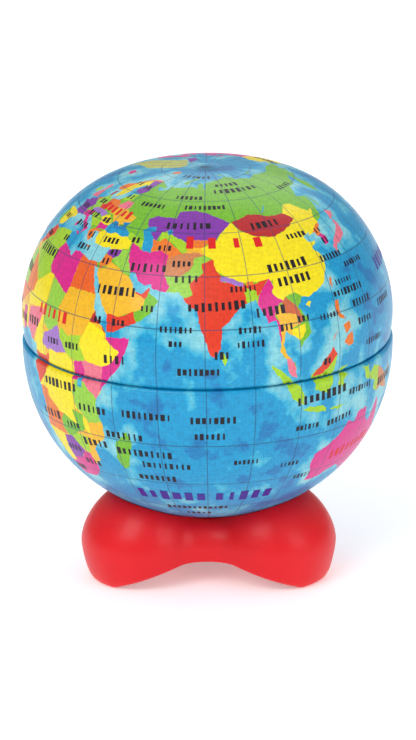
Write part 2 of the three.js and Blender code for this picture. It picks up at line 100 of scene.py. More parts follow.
LANDS = {
    "africa": "-6 35.8 -2 35.2 3 36.8 10 37.3 11 35 10.3 34 15 32.4 19 30.4 20 32.6 23 32.7 29 31 32.3 31.2 "
    "32.6 29.9 33.8 27.5 35.5 24 37.2 21 37.4 18.5 39.5 15.4 43.2 12.2 43.2 11.4 51.2 11.9 51 10.3 48 4.5 "
    "44 1.2 41.5 -1.8 39.3 -4.7 38.9 -6.8 39.6 -8.5 40.6 -11 40.7 -15 36 -18.8 34.9 -20 35.5 -24 32.8 -26 "
    "32.5 -28.5 30.5 -31.3 27 -33.6 22 -34.2 19.8 -34.8 18.3 -34 18 -31.8 16.4 -28.6 14.5 -23 11.8 -17.5 "
    "13.7 -11 12.2 -6 9 -1 9.5 1.2 9.7 4 6 4.3 4 6.4 1.2 6 -2 4.8 -7.5 4.4 -11.5 7 -13.3 9.2 -16.7 12.4 "
    "-17.4 14.7 -16.3 19 -17 21 -14.5 26 -10 29.5 -9.7 31.5 -6.8 34",
    "eurasia": "-5.6 36 -8.9 37 -9.4 38.8 -8.8 43.2 -1.8 43.4 -1.2 46 -4.6 48.4 -1.5 48.6 -1.8 49.7 "
    "1.6 50.7 "
    "4 51.8 8.5 53.8 8.2 57 10.6 57.6 10 55 11 54 14.2 54 19.5 54.5 21.2 56.5 22 57.6 24 57.2 23.6 59.3 "
    "30 59.9 25 60.3 21.5 61 21.5 63 25.3 65.2 22 65.7 18.2 62.5 17.2 61 18.8 60 16.4 56.5 14.2 55.4 "
    "12.8 55.6 11.3 59 8.2 58.1 5.5 59 5.2 62 10.5 64.3 14.5 67.8 19 69.8 25.5 71 31 70.3 41 67.5 40 66.3 "
    "34 66.6 38 64.2 40.3 64.7 44 66 44 68.4 46.5 68 54 68.5 60.5 69.4 65 69.3 68.5 68.3 67 71 70 73 "
    "73 71.5 73.5 68 75.5 68.8 74.5 72.7 81 73.6 87 75 100 76.4 104.3 77.6 113 75.8 113.5 73.8 123 73 "
    "129 71.2 132 71.9 140 72.5 152 71 160 69.7 170 70 178 69.2 185 67.5 190 66 187.5 64.4 178 64.6 "
    "179.5 62.5 173 61.5 170 60 164 59.8 162.5 58 163 56 160 53 156.8 51 155.6 55 156.5 57.5 161 60.5 "
    "164 62.5 156.5 61.3 151 59.3 143 59.3 135.5 54.7 141 53.3 140.5 50 135.5 44 131.5 43 129.7 41.2 "
    "127.5 39.6 129.4 37 129 35.2 126.4 34.5 126.8 37.5 125 38.5 125 39.8 121.5 39 122 40.7 118 39.2 "
    "119 37.3 122.5 37 119.3 35 121.8 32 121.8 30 121 28 118.5 24.5 114.5 22.4 110.5 21.2 108 21.6 "
    "105.8 19 108.8 15.5 109.3 12 107 10.4 104.8 8.6 105 10.3 102.5 12 100.5 13.4 99.3 10 100.6 7.2 "
    "103.3 4.8 104 1.4 101.3 2.8 100.4 6.2 98.3 8.2 98.6 12 97.6 16.4 95 15.8 94.3 18 92.3 20.8 91.8 22.6 "
    "89 21.8 87 21.4 85 19.5 82 16.7 80.2 15.5 80.2 13 79.8 10.3 78 8.2 76.5 8.9 74.8 13 73 17 72.7 21 "
    "70.5 20.9 69 22.3 68 23.7 66.6 25.3 61.6 25.1 57.2 25.8 56.7 27.1 54 26.7 51.5 27.9 50 30.1 48 29.9 "
    "48.2 28.5 50 26.7 50.8 24.9 54 24.1 56.3 26.2 56.5 24.5 59.8 22.5 57.8 19 55 17 52 15.6 45 12.8 "
    "43.4 12.7 42.8 16.3 39.2 21 37.2 24.5 34.9 28 34.6 29.5 32.6 29.9 32.3 31.2 34.3 31.4 35.8 35.5 "
    "36.1 36.8 32.5 36.1 30.5 36.5 27.3 36.9 26.3 39.3 26 40.8 23 40.4 24 38 22.8 36.6 21.2 37.8 "
    "19.4 41.5 15.2 44.2 13.6 45.4 12.4 44.7 14 42.4 18.3 40.2 17 39.2 16 38 15.6 40 12.3 41.8 10.2 43.8 "
    "7.5 43.8 3.2 43.2 3 41.7 0 40 -0.4 38.3 -2 36.8 -5.2 36.2",
    "britain": "-5.5 50.2 1.3 51.2 0.3 53 -1.8 55.5 -2 57.5 -4.5 58.5 -5.8 56.5 -3.2 54.8 -4.4 53.2 -5 51.8",
    "ireland": "-6.2 52.2 -9.8 51.6 -9.8 54 -6.5 55.2",
    "iceland": "-22.5 64 -18.5 63.4 -14 64.8 -16 66.4 -22 66.3 -23.8 65.2",
    "svalbard": "12 78 18 76.8 24 78.5 20 80.3 12 79.7",
    "novaya": "52 71.5 57 70.7 58 73.5 68 76.8 60 76.2 53.5 73.5",
    "severnaya": "96 80 105 79 101 78.2",
    "anjou": "138 75.8 148 75.3 142 73.8",
    "sakhalin": "142 46 143.4 49 142.6 54.2 141.7 52 142 48",
    "hokkaido": "140 41.5 143.3 42 145.4 43.4 142 45.5 141 43.2",
    "honshu": "131 34.1 135.2 33.7 138.8 34.8 140.8 35.7 142 39.5 141 41.4 139.8 39 136.8 37.3 132.5 35.4",
    "kyushu": "129.8 33.3 130.5 31.2 132 33 134.3 34.2 131 34",
    "taiwan": "120.2 23 121 22 121.8 25 121 25.1",
    "hainan": "108.7 19.2 110 18.3 111 19.8 110 20.1",
    "luzon": "120 16 120.6 18.5 122.2 18.4 121.6 15 124 12.7 120.8 13.8",
    "mindanao": "122 7 124 6 126.3 6.5 126 9.5 123.5 8.6",
    "visayas": "122 11.5 125 12.3 125.2 10.2 123 9.3",
    "palawan": "117.3 8.4 119.5 11.2 119.2 10.2",
    "borneo": "109 1.5 110.2 -2.8 114.5 -4 116.4 -2.5 117.8 1 119 5 117 7 115 5 111.3 2.6",
    "sumatra": "95.3 5.6 98.5 3.9 103.5 0 106 -3 105.8 -5.8 102.3 -4 98.8 1.5 95.5 4.5",
    "java": "105.3 -6.8 108.5 -6.5 112.6 -6.8 114.5 -7.8 114.3 -8.8 108.5 -7.9",
    "sulawesi": "119.5 -5.5 120.4 -3 122.3 -5 121.3 -2 123.3 -0.9 121 0.4 125 1.5 120.8 1.3 119.8 0 "
    "118.8 -2.8",
    "flores": "116 -8.4 119 -8.2 123 -8.2 120 -9.1",
    "timor": "123.6 -10.3 127 -8.4 125 -9.4",
    "guinea": "131 -0.8 134.2 -0.9 135 -3.3 138 -1.8 141 -2.6 145 -4.4 147.8 -6.2 150.7 -10.3 147 -9.5 "
    "143.5 -8.3 141 -9.1 138 -8 138.2 -5.5 133 -4",
    "britain_new": "148.5 -5.6 152 -4.2 151.5 -5.6 149 -6.3",
    "ceylon": "79.8 8 81 6 81.8 7.5 80.3 9.7",
    "madagascar": "49.3 -12.1 50.4 -15.6 47.2 -24.8 45 -25.5 43.5 -22 44.4 -16.3",
    "australia": "113.8 -22.5 115.3 -21.5 119 -20 122 -18.2 123.5 -17 126 -14 129.5 -15 131 -12.2 "
    "135.8 -12.1 136 -15 139.5 -17.5 141 -15.5 142.5 -10.8 145.3 -15 147.5 -19.5 150.8 -23.3 153.4 -27.5 "
    "152.8 -31.5 150 -37.3 146.3 -39 143.5 -38.7 140 -37.8 138.3 -35.2 137.8 -33 135.8 -34.9 131.2 -31.5 "
    "126 -32.3 123.6 -34 118 -35 115 -34.2 115.7 -31.5 113.5 -26.3",
    "tasmania": "144.7 -40.8 148.3 -41 147 -43.5 145.5 -42.8",
    "zealand_north": "173 -34.6 175.6 -36.7 178.5 -37.8 176.8 -40 175 -41.5 174 -39",
    "zealand_south": "172.8 -40.6 174.2 -41.8 171 -44.5 169 -46.6 166.7 -45.8 170 -43",
    "sicily": "12.5 38 15.5 38.2 15 36.8",
    "sardinia": "8.3 39 9.7 39.5 9.3 41.2 8.2 40.8",
    "crete": "23.6 35.4 26.2 35.2 25 34.7",
    "cyprus": "32.4 34.8 34 35.2 33 35.4",
    "kerguelen": "68.8 -49.3 70.5 -49.3 69.5 -48.6",
    "america_north": "-168 65.8 -162 66.5 -166 68.5 -156.5 71.3 -141 69.7 -128 70.2 -115 68.5 -108 68 "
    "-95 68 -94 71.5 -90 69 -85 69.5 -81.5 68 -87 65 -94 61 -93 58.8 -87 56.5 -82.3 55.2 -82 53 -79.5 51.5 "
    "-79 55 -77 57.5 -78 62.4 -70 61 -65 59.5 -62 57.5 -56 52.5 -60 50.2 -66 50.2 -64.5 48.8 -65 47 "
    "-61 45.5 -66 43.7 -70 43.5 -70.5 41.8 -74 40.6 -76 37 -76 35 -81.2 31.5 -80.2 26 -81.5 25.6 -82.8 28 "
    "-84.5 30 -89.5 30 -94 29.6 -97.3 27 -97.7 22.3 -95.5 18.8 -91 18.8 -90.3 21 -87 21.3 -88.3 16 "
    "-83.3 15 -83.7 11 -80 9 -77.4 8.6 -78.2 7.6 -82.8 8.2 -85.8 10.8 -87.6 13.2 -92.5 14.6 -96 15.8 "
    "-101.7 17.7 -105.5 20.4 -109 25.6 -112.7 30 -114.7 31.6 -109.5 23.2 -112.2 25.8 -114.8 28 -117 32.4 "
    "-120.6 34.6 -122.5 37.6 -124.3 40.4 -124 46.2 -123 49 -128 51.5 -130.3 55 -135 58.5 -141 60 -148 60.3 "
    "-152 59.2 -158 56.5 -163 54.8 -158 58.5 -162 59 -165 61.5 -161 64.3 -166 64.5",
    "baffin": "-62 66.5 -68 70 -78 73.5 -89 73.2 -85 70.2 -73 68 -77 65.5 -66 62.2",
    "victoria": "-116 73 -105 73 -102 69 -113 68.6 -117 70",
    "ellesmere": "-62 82.5 -88 80.5 -89 76.5 -78 76.5 -70 79.8",
    "banks": "-125 74 -117 74.5 -123 71.3",
    "greenland": "-73 78.3 -60 76 -54 71 -53.5 67 -50 61.8 -44 60 -40 65 -32 68 -22 70.5 -18 76 -12 81.4 "
    "-32 83.5 -60 81.8",
    "newfoundland": "-59.3 47.8 -53 46.8 -56 51.5",
    "cuba": "-84.8 22 -80 23.1 -74.3 20.2 -77.5 19.9",
    "hispaniola": "-74.3 18.4 -73 19.9 -68.5 18.6 -71 17.8",
    "america_south": "-77.3 8.6 -75 10.8 -71.5 12.3 -71.5 10.8 -68 11.5 -62 10.7 -57 6 -51.5 4.2 -50 0.8 "
    "-48 -0.8 -44 -2.6 -39.5 -3 -35.2 -5.5 -34.9 -8 -38.5 -13 -39.2 -17.8 -41 -22 -45 -23.5 -48.6 -26.5 "
    "-52.2 -32.2 -54.9 -35 -58.4 -34 -56.8 -36.6 -62 -38.9 -65 -41 -63.8 -42.6 -67.4 -46 -65.8 -48 -69 -51 "
    "-68.3 -52.5 -65.3 -55 -70.5 -55 -74.8 -51 -75.5 -46.7 -72.8 -42 -73.6 -37.2 -71.6 -33 -71.4 -28 "
    "-70.2 -21 -70.4 -18.3 -76.2 -13.8 -79.5 -7.5 -81.3 -4.5 -80.2 -2.5 -80 0.8 -77.5 3 -77.3 6.8 -78.2 7.8",
    "antarctica": "-170 -78 -150 -76 -120 -74 -100 -72 -75 -73 -68 -67 -58 -63 -62 -72 -60 -76 -35 -78 "
    "-15 -72 10 -70 40 -69 55 -66 80 -68 100 -65.5 130 -66 150 -68.5 168 -71 165 -77 190 -78 190 "
    "-90 -170 -90",
}

SEAS = {
    "black": "28 41.9 31.2 41.2 35 42 38.5 41 41.5 41.5 41 43 37.5 44.8 39.2 47 35 46.2 36.3 45.2 33.6 44.5 "
    "32.6 46 30.5 46.2 28.7 44.4",
    "caspian": "49 42 47.2 44.8 49.3 46.3 52.8 46.8 53.2 45 51 44.4 52.8 42.7 53.8 40 53.9 37 50.3 "
    "37.4 49.3 40.4",
    "aral": "58.5 45.5 60.5 46.3 61 44.5 59 44",
    "baikal": "104 51.5 106.5 52.2 110 55.6 107.5 53.6",
    "victoria_lake": "32 -0.5 34 -0.2 33.4 -2.6 31.8 -2.3",
    "great_lakes": "-92 46.8 -87 48.5 -80.5 45.8 -79.5 43.3 -83 42 -85 44.5 -87.5 42 -87.8 45",
}

# Each land's colour, then patches laid over it in turn. A later patch covers an earlier one.
GREEN, YELLOW, ORANGE, RED = "#6DB31F", "#F4DC04", "#E8701C", "#DB3418"
PINK, PURPLE, LAVENDER, AMBER = "#D41480", "#7A2C9E", "#9A6CC0", "#F0B01C"
LIME, CRIMSON, LEAF, CLAY = "#9CCB1C", "#B01B22", "#8DC63A", "#C87848"
ROSE, SNOW = "#E86C82", "#DCE8EA"

LAND_COLOURS = {
    "africa": AMBER, "britain": ROSE, "ireland": LIME, "iceland": PINK, "svalbard": ORANGE,
    "hokkaido": ROSE, "honshu": ROSE, "kyushu": ROSE, "taiwan": ORANGE, "hainan": YELLOW,
    "luzon": ORANGE, "mindanao": ORANGE, "visayas": ORANGE, "palawan": ORANGE, "borneo": LIME,
    "sumatra": LIME, "java": LIME, "sulawesi": LIME, "flores": LIME, "timor": PURPLE, "guinea": LIME,
    "britain_new": ORANGE, "ceylon": LIME, "madagascar": GREEN, "australia": PINK, "tasmania": PINK,
    "zealand_north": LIME, "zealand_south": LIME, "sicily": PINK, "sardinia": PINK, "crete": ORANGE,
    "cyprus": GREEN, "kerguelen": PURPLE, "america_north": PINK, "baffin": PINK, "victoria": PINK,
    "ellesmere": PURPLE, "banks": PINK, "greenland": "#B9BE5C", "newfoundland": PINK, "cuba": RED,
    "hispaniola": LIME, "america_south": GREEN, "antarctica": SNOW,
}

PATCHES = [
    (PURPLE, "49 46 47 49.5 51 51.5 61 51 61.5 54 70 55.2 77 53.5 83 51 87 49 85 47 82 45 80 42.3 "
     "70 42 68 41 "
     "61 43 58.5 45.5 56 45 55 41.5 52.5 42 50 44.5"),
    (YELLOW, "73.5 39.5 80 42 82 45 87.5 49 91 45.2 97 42.7 105 41.6 112 43.5 119.5 46.8 116 49.8 "
     "120.5 53.2 "
     "125 53 131 47.8 135 48.4 131 44.8 131 42.5 125 40.2 121 38 124 37 124 30 118 22 108 20.5 105.5 23 "
     "102 22.3 101 21.3 99 22 97.7 24 98.7 27.6 92 27.8 88 27.8 82 30 78.8 32 78 35.5 75 37"),
    (CRIMSON, "87.8 49.2 98 52 102 51.5 107 50 116 49.8 120 46.7 112 43.5 105 41.6 97 42.7 91 45.5"),
    (LIME, "56 41.3 56 45 58.5 45.5 62 43.5 66.5 42 68.5 40.8 73 40.5 70.5 39.5 68 37.2 66.5 37.4 "
     "62 41 58.5 42.7"),
    (ORANGE, "52.5 42 55.5 41.3 58.5 42.7 62 40.5 66.5 37.4 61.2 35.3 57 38.2 53.8 37"),
    (ORANGE, "69.2 42.5 80 42.4 73.6 39.5 70 39.8"),
    (AMBER, "68 37 68 40 73.8 39.4 75 37.3 71.5 36.6"),
    (PINK, "44.8 39.7 48 39.5 49 37.7 53.8 37 57 38.2 61.2 36.5 60.8 31.5 63.2 27.2 61.5 24 57 24.8 53 26.5 "
     "48.3 29.5 46 33 45.3 36.5"),
    (CLAY, "60.8 34.5 61.2 35.5 66 37.4 71.4 38 74.8 37.2 71 34.2 69.3 31.7 66.3 29.9 61 29.7"),
    (LEAF, "61.8 24 66.5 23 68.2 23.7 71 24.6 70 28 74.5 31.5 74 34 77.5 35.4 74.8 37 71 36 71 34 69.3 31.7 "
     "66.3 29.9 61 29.7 63 27.2"),
    (RED, "68.2 23.7 71 24.6 70 28 74.5 31.2 74 34.3 78 35.6 79 32.3 81 30.2 80.3 28.8 88 26.4 88.2 27.9 "
     "89 26.8 92 27.2 97.2 28.2 95 26 93.5 24 92.3 23 91 24.8 89.9 25.9 88.3 25 89 21.5 87 19 80 8 76 6.5 "
     "72 15 67 21.5"),
    (LAVENDER, "80.2 28.8 81.2 30.3 88.1 27.9 88 26.5"),
    (ORANGE, "89 26.8 92 26.9 91.5 28 89.3 28"),
    (LIME, "88.2 24.8 89 26.2 92.4 24.9 92.4 22 91.5 21 89 21"),
    (PINK, "92.3 21.5 93.4 24 95 26 97.3 28.4 98.6 25.8 97.6 24 99.3 22.2 101 21.4 98 19.7 97.5 "
     "17.5 99 15.5 "
     "99 11 98 9 93.5 15"),
    (AMBER, "97.5 18.3 100 20.4 101 17.8 104.7 17.5 105.5 14.4 102.5 13.6 103 11.6 100 12 99.5 9.5 101.8 6 "
     "100 6.4 98 8 99 12 98.6 16"),
    (GREEN, "102.2 22.4 105.3 23.3 108.5 21.5 107 19 111 14 110 11 105 8 104.5 10.5 107.5 12.5 "
     "107.4 15.2 105 19.6"),
    ("#C4552A", "100.2 20.3 102 22.4 104.8 20 107.5 15.3 105.4 14.4 104.7 17.3 101.2 17.8"),
    (YELLOW, "102.5 13.5 107.5 14.4 107.4 12.4 104.4 10 102.6 11.6"),
    (ROSE, "99.8 6.6 102 6.4 105 1.2 101 2.4"),
    (RED, "109.5 1 112 3.6 115 5.5 117 7.6 119.8 5 117.8 4 115 2 112 1"),
    (CLAY, "141 -2 153 -2 153 -11.5 141 -11"),
    (LIME, "41.5 43.4 46.5 41.8 50.5 40.4 48.9 38.3 44.5 39.8 41.5 41.5"),
    (LEAF, "38.8 33.4 41 36.5 44.8 37.2 46 33.2 48.5 29.4 46.5 29.2 42 31.3"),
    (PURPLE, "35.4 34.5 36 36.8 42 37.2 41 34.3 38.8 33.2"),
    (ORANGE, "34 31.4 35.2 29.3 39 32 39 33.4 35.8 34.6 35 33"),
    (AMBER, "34.4 29.4 36 29.2 39.1 32.1 42 31.2 46.5 29.1 48.9 28.5 50.6 26.5 51.5 24.3 55.2 22.7 "
     "55 20 52 19 "
     "47 17 43.3 17.4 42 16.2 38 21 35 27"),
    (RED, "42 16.4 43.3 17.5 47 17 52 19 53.2 16 45 12 42.6 12.4"),
    (GREEN, "52 19 55 20 55.2 22.7 56 24.2 60.6 22.8 57.8 18 53.2 15.8"),
    (RED, "51.5 24.3 55.2 22.7 56 24.1 56.6 26.8 54 25"),
    (YELLOW, "25.6 40 28 42 35 42.2 41.5 41.6 44.5 39.8 44.3 37.3 36.2 36 30 35.6 26 37"),
    (AMBER, "22.5 48.5 24 51.5 32 52 34 50.5 40 49.3 38.6 46.6 35 45.6 33 44 30 45 26.5 48"),
    (ROSE, "23.5 52 26.5 55.7 31 55.5 32 53 30.5 51.5"),
    (ORANGE, "14.3 54.6 14.5 51 18.8 49.6 23 49.5 23.8 53 20 55"),
    (LEAF, "6.6 54 6.2 51 8 47.7 13 47.7 14.7 51 14.2 55 9 55"),
    (PURPLE, "-6 48.5 2.5 51.4 8 49 6 46.3 7.5 43.2 3 42.2 -2 43.4 -2 46"),
    (YELLOW, "-10 44 -1.8 43.5 3.6 42.5 0.8 38.5 -2 36 -6 35.8 -7.3 37.3 -7 41.9 -9.8 42"),
    (GREEN, "-10 42 -6.8 41.9 -7.3 36.8 -9.8 36.8"),
    (PINK, "7 43.6 7 46 12 47 13.8 46.5 13 44 19 40.3 16 37 12 36 12 38.5 15 40 10 42.8"),
    (LIME, "13.6 46.4 16.5 46.4 19 45.8 22 44.5 22.6 42.3 20 42.3 19 41 13.5 44.6"),
    (LAVENDER, "9.6 47.4 13 48.8 17 48.8 22.5 48 21 46.2 16.4 46.6 12 46.8"),
    (YELLOW, "20.5 46.2 24.5 48 28.2 45.5 30 44.8 28.9 43.8 22.7 44"),
    (PINK, "22.5 44 28.9 43.7 28.3 42 22.6 41.5"),
    (ORANGE, "19.8 40 22 41.4 26.6 41.6 26.4 40.4 24.4 37.6 23 36 21 36.4"),
    (RED, "12.2 50.4 15 51.2 18.8 49.6 17 48.8 13.2 48.8"),
    (CLAY, "2.4 51 6 51 6.9 53.8 4 52.2"),
    (ORANGE, "4 62 4.6 58 8 57.6 11.3 59.2 12.2 61.5 12.5 64 15 66.5 20 69 29 69.2 31.6 70.5 25 72 13 68.5"),
    (YELLOW, "11 58.5 12.2 61.5 12.3 64 15 66.4 20.5 69 24 65.8 17.6 60.6 20 59.8 14.2 54.8 12.2 55.4"),
    (PURPLE, "20.7 69.1 29 70 30 67.5 29.8 64.5 31.5 62.8 28 60 21 59.4 20.5 63 24.6 65.5 24 66"),
    (LIME, "20.4 55.3 26.6 55.6 28.2 56.5 27.5 59.8 23 59.8 21 57.8"),
    (CRIMSON, "7.6 54.9 8 58 11 58 12.6 55.6 10 54.6"),
    (ORANGE, "124 40 128 42 131 42.6 128 38.6 124.4 37.8"),
    (PINK, "125.4 38 128.5 38.7 130.4 35.5 126 33.6"),
    (RED, "-13 27.7 -8.7 27.7 -4 31 -1.5 32.5 -2 35.8 -6 36.6 -11 32 -11 29"),
    (LIME, "-8.7 27.5 -4 31 -1.5 32.5 -2 36 8.5 38 8 33 9.5 30 10 25 12 23.5 5 19.2 -4.8 24.9"),
    (LEAF, "-18 21 -13 21.5 -12 26 -4.8 25 -5.6 15.5 -12 15 -17.6 16"),
    (LIME, "8.5 38 7.6 33.5 9.2 30.3 11.5 33 11.6 37.8"),
    (PINK, "9.3 30.2 11.5 33.6 20 34 25 32.4 25 22 24 19.5 15 23 12 23.4 10 25"),
    (ORANGE, "-12 15 -5.6 15.4 -6.5 25 -4.8 24.9 4.3 19.2 4.2 16.2 0.2 15 -5.3 11.3 -8 10.3 -11.5 12.3"),
    (YELLOW, "0.2 15 3.4 15.8 4.4 19 12 23.4 15 23 15.6 17 13.6 13.6 4 12.5 2 12"),
    (LEAF, "14 13.2 15.5 17 15 23 24 19.6 22 14.8 23 11 18.8 8.8 15.3 10"),
    ("#E65A18", "25 32.6 25 22 37.4 22 34.5 28 33 31.8"),
    (AMBER, "22 15.5 24 19.7 25 22 37.4 22 38.8 18 36.4 14.8 34.2 10.5 28 9.3 23.8 11"),
    (YELLOW, "-8 10.3 2.7 12 2.7 5 -7.8 3.6"),
    (PINK, "-3 11 1 11 1.2 4 -3 4"),
    (ROSE, "-18 14 -12 15 -11 12 -8 10 -8 4 -15 8"),
    (ROSE, "2.7 5.6 3.5 11.8 13.5 13.7 14.6 11.6 9 6 6.5 3"),
    (YELLOW, "8.4 4 14.5 12.9 15.4 7.6 16.4 1.9 9 2"),
    (RED, "8 -1 9 2.2 16.5 2.2 18.5 3.8 16.3 -1.9 12 -5.4"),
    (LAVENDER, "14.6 5 15.4 7.6 18.8 9 22.8 11 27.4 5.1 22.5 4.2 18.6 3.6"),
    (LIME, "24 8.6 24.2 11 28 9.4 34 10.5 33 8 35.8 5 34 3.8 30.8 3.5 27.4 5"),
    (PINK, "40.8 -2.4 41 3.2 42 4 45 5 48 8 43.2 10.8 43.6 12 52 12.4 52 9 44 -1"),
    (YELLOW, "33 8 34.5 10.8 36.4 14.5 42.5 12.5 42.5 10.8 48 8 45 5 41.9 3.9 36 4.4"),
    (CRIMSON, "36.4 14.3 38.4 18.6 43.6 12.5 42.4 12.4 40.6 14.4"),
    (ROSE, "33.8 4.2 36 4.4 41.9 3.8 41 -2 39.4 -5.2 33.9 -1"),
    (YELLOW, "12 -6 16.3 -5.8 17 -8 22 -11 29.8 -13.4 28.5 -9 30.8 -8.3 29.3 -4.4 29.6 -1 31 2.3 27.5 5 "
     "22.5 4.1 18.6 4.6 16.5 -1.8"),
    (PINK, "29.6 -1.2 30.9 3.6 34 4.2 35 1.5 33.9 -1"),
    (LEAF, "29.3 -4.5 30.8 -1 34 -1 39.6 -4.8 41 -10.8 35 -11.6 33 -9.4 30.8 -8.3"),
    (ORANGE, "12 -6 16.4 -5.9 17 -8 22 -11 24 -11 22 -13.2 22 -16.3 23.4 -17.7 11 -17.4"),
    (GREEN, "22 -13 24 -11 29.8 -13.4 28.5 -9 33 -9.5 33 -14 29 -15.8 27 -18 23.4 -17.6 22 -16.2"),
    (AMBER, "35 -11.6 41.4 -10.5 41.4 -15 35.9 -20 36.2 -24 32.4 -27.4 31.3 -22.4 33 -16 30.5 -15.6 "
     "33 -14 35.5 -16"),
    (YELLOW, "33 -9.6 34.6 -11.6 35.6 -16.6 34 -14.6 32.8 -13.6"),
    (LIME, "25.3 -17.8 28.9 -15.9 33 -16.4 32.5 -20.5 31.3 -22.4 27.5 -20.5"),
    (PURPLE, "20 -22 21 -18.2 25.3 -17.8 29.3 -22 25.5 -25.7 20.5 -26.8"),
    (YELLOW, "11 -17.3 21 -18 20 -22 20 -28.4 16 -29 13.6 -22"),
    (PINK, "16 -28.7 20 -28.4 20.5 -26.8 25.5 -25.7 29.3 -22.2 31.4 -22.3 32.9 -26.8 34 -29 27 -36 "
     "16 -35.4"),
    (YELLOW, "-125 48.4 -95 49 -83 46 -82 42 -76 44 -70 46 -66 45 -66 40 -79 24 -98 25 -106 31.5 -118 32"),
    (YELLOW, "-141 60 -141 70.4 -156 72 -170 68 -170 54 -150 58"),
    (GREEN, "-118 32.4 -106 31.6 -97 25.6 -94 17.6 -88 21.8 -86 21 -92 14 -107 17 -116 27"),
    (ORANGE, "-92.4 14.6 -88 18 -82.6 15.4 -83 10.4 -77 9 -78 7 -88 12"),
    (RED, "-78 8.6 -71.5 12.6 -67.6 6 -70 -4.2 -75 -0.4 -80 1.6"),
    (PURPLE, "-71.5 12.6 -60 9 -61 4 -67.4 2 -67.6 6 -72 8"),
    (ORANGE, "-60 9 -51 5 -52 2 -60 2 -61 5"),
    (YELLOW, "-81.6 0.6 -75 -0.4 -70 -4.4 -70 -11 -69.4 -17.8 -71 -18.6 -78 -14 -82 -5"),
    (PINK, "-69.4 -10 -60 -14 -58 -19.6 -62.6 -22.2 -68 -22.6 -69.6 -17.6"),
    (AMBER, "-68 -22.6 -62.6 -22.2 -54 -26 -58 -33 -56 -38 -64 -56 -69 -52 -72 -44 -69.6 -30"),
    (CRIMSON, "-71 -18.4 -68 -22.8 -69.8 -30 -72 -44 -73 -52 -66 -56 -78 -54 -75 -36"),
]

COAST_STEP = 0.8  # degrees between the points of a drawn outline
COAST_WANDER = 0.3  # how far a point strays, as a share of that step
GRID_LON = 2.25  # degrees between the mesh's columns
ROW_SPACING = 1.4 * MM  # of the mesh's rings along the sheet
EDGE_BAND = 1.3 * MM  # at the seam, where the rings are close for the rolled edge
EDGE_CLEAR = 1.5  # degrees from the print's end that the wide rings keep
NECK_RINGS = 5  # of the neck's foot that the print still covers
OFF_THE_PRINT = 9.0  # coast distance given to points that the print does not cover
COAST_BATCH = 500
LAND_INK, SEA_INK, BARE_TIN, PRINTED_EDGE = 0.0, 1.0, 2.0, 3.0  # values of sheet_kind


def outline(text):
    values = [float(word) for word in text.split()]
    return list(zip(values[0::2], values[1::2]))


def drawn(points, seed):
    """The outline with points added along its sides, each a little off the straight line."""
    chance = random.Random(seed)
    line = []
    for (x0, y0), (x1, y1) in zip(points, points[1:] + points[:1]):
        length = math.hypot((x1 - x0) * math.cos(math.radians((y0 + y1) / 2)), y1 - y0)
        steps = max(1, round(length / COAST_STEP))
        for i in range(steps):
            share = i / steps
            stray = 0 if i == 0 else COAST_WANDER * min(COAST_STEP, length)
            line.append((
                x0 + (x1 - x0) * share + chance.uniform(-stray, stray),
                y0 + (y1 - y0) * share + chance.uniform(-stray, stray),
            ))
    return line


def inside(points, lon, lat):
    """Which of many places lie inside one outline."""
    x, y = np.array(points).T
    x2, y2 = np.roll(x, -1), np.roll(y, -1)
    near = (lon >= x.min()) & (lon <= x.max()) & (lat >= y.min()) & (lat <= y.max())
    hit = np.zeros(len(lon), bool)
    picked = np.flatnonzero(near)
    px, py = lon[picked, None], lat[picked, None]
    crosses = (y > py) != (y2 > py)
    rise = np.where(y2 == y, 1e-9, y2 - y)
    hit[picked] = ((px < (x2 - x) * (py - y) / rise + x) & crosses).sum(axis=1) % 2 == 1
    return hit


COASTS = {name: drawn(outline(text), name) for name, text in LANDS.items()}
WATERS = {name: drawn(outline(text), name) for name, text in SEAS.items()}
BORDERS = [(colour, drawn(outline(text), str(i))) for i, (colour, text) in enumerate(PATCHES)]


# Islands and far lands in one colour, which the patches leave alone.
PLAIN_LANDS = (
    "madagascar", "honshu", "kyushu", "hokkaido", "iceland", "australia", "sumatra", "java", "luzon",
    "greenland", "zealand_north", "zealand_south", "ceylon", "taiwan", "palawan", "mindanao", "sulawesi",
    "hainan", "antarctica", "cuba", "hispaniola", "timor", "visayas",
)


def printed_colours(lon, lat):
    """At many places: the ink, as linear colour, and whether the place is at sea."""
    ink = np.tile(np.array(linear(OCEAN)), (len(lon), 1))
    on_land = np.zeros(len(lon), bool)
    in_one_colour = np.zeros(len(lon), bool)
    for name, points in COASTS.items():
        hit = inside(points, lon, lat)
        ink[hit] = linear(LAND_COLOURS.get(name, GREEN))
        on_land |= hit
        if name in PLAIN_LANDS:
            in_one_colour |= hit
    for colour, points in BORDERS:
        ink[inside(points, lon, lat) & on_land & ~in_one_colour] = linear(colour)
    sea = ~on_land
    for points in WATERS.values():
        hit = inside(points, lon, lat)
        ink[hit] = linear(OCEAN)
        sea |= hit
    return ink, sea


# ---------------------------------------------------------------- profiles of the two shells
def arc(centre_r, centre_z, radius, start, end, steps):
    angles = [math.radians(start + (end - start) * i / steps) for i in range(steps + 1)]
    return [(centre_r + radius * math.cos(a), centre_z + radius * math.sin(a)) for a in angles]


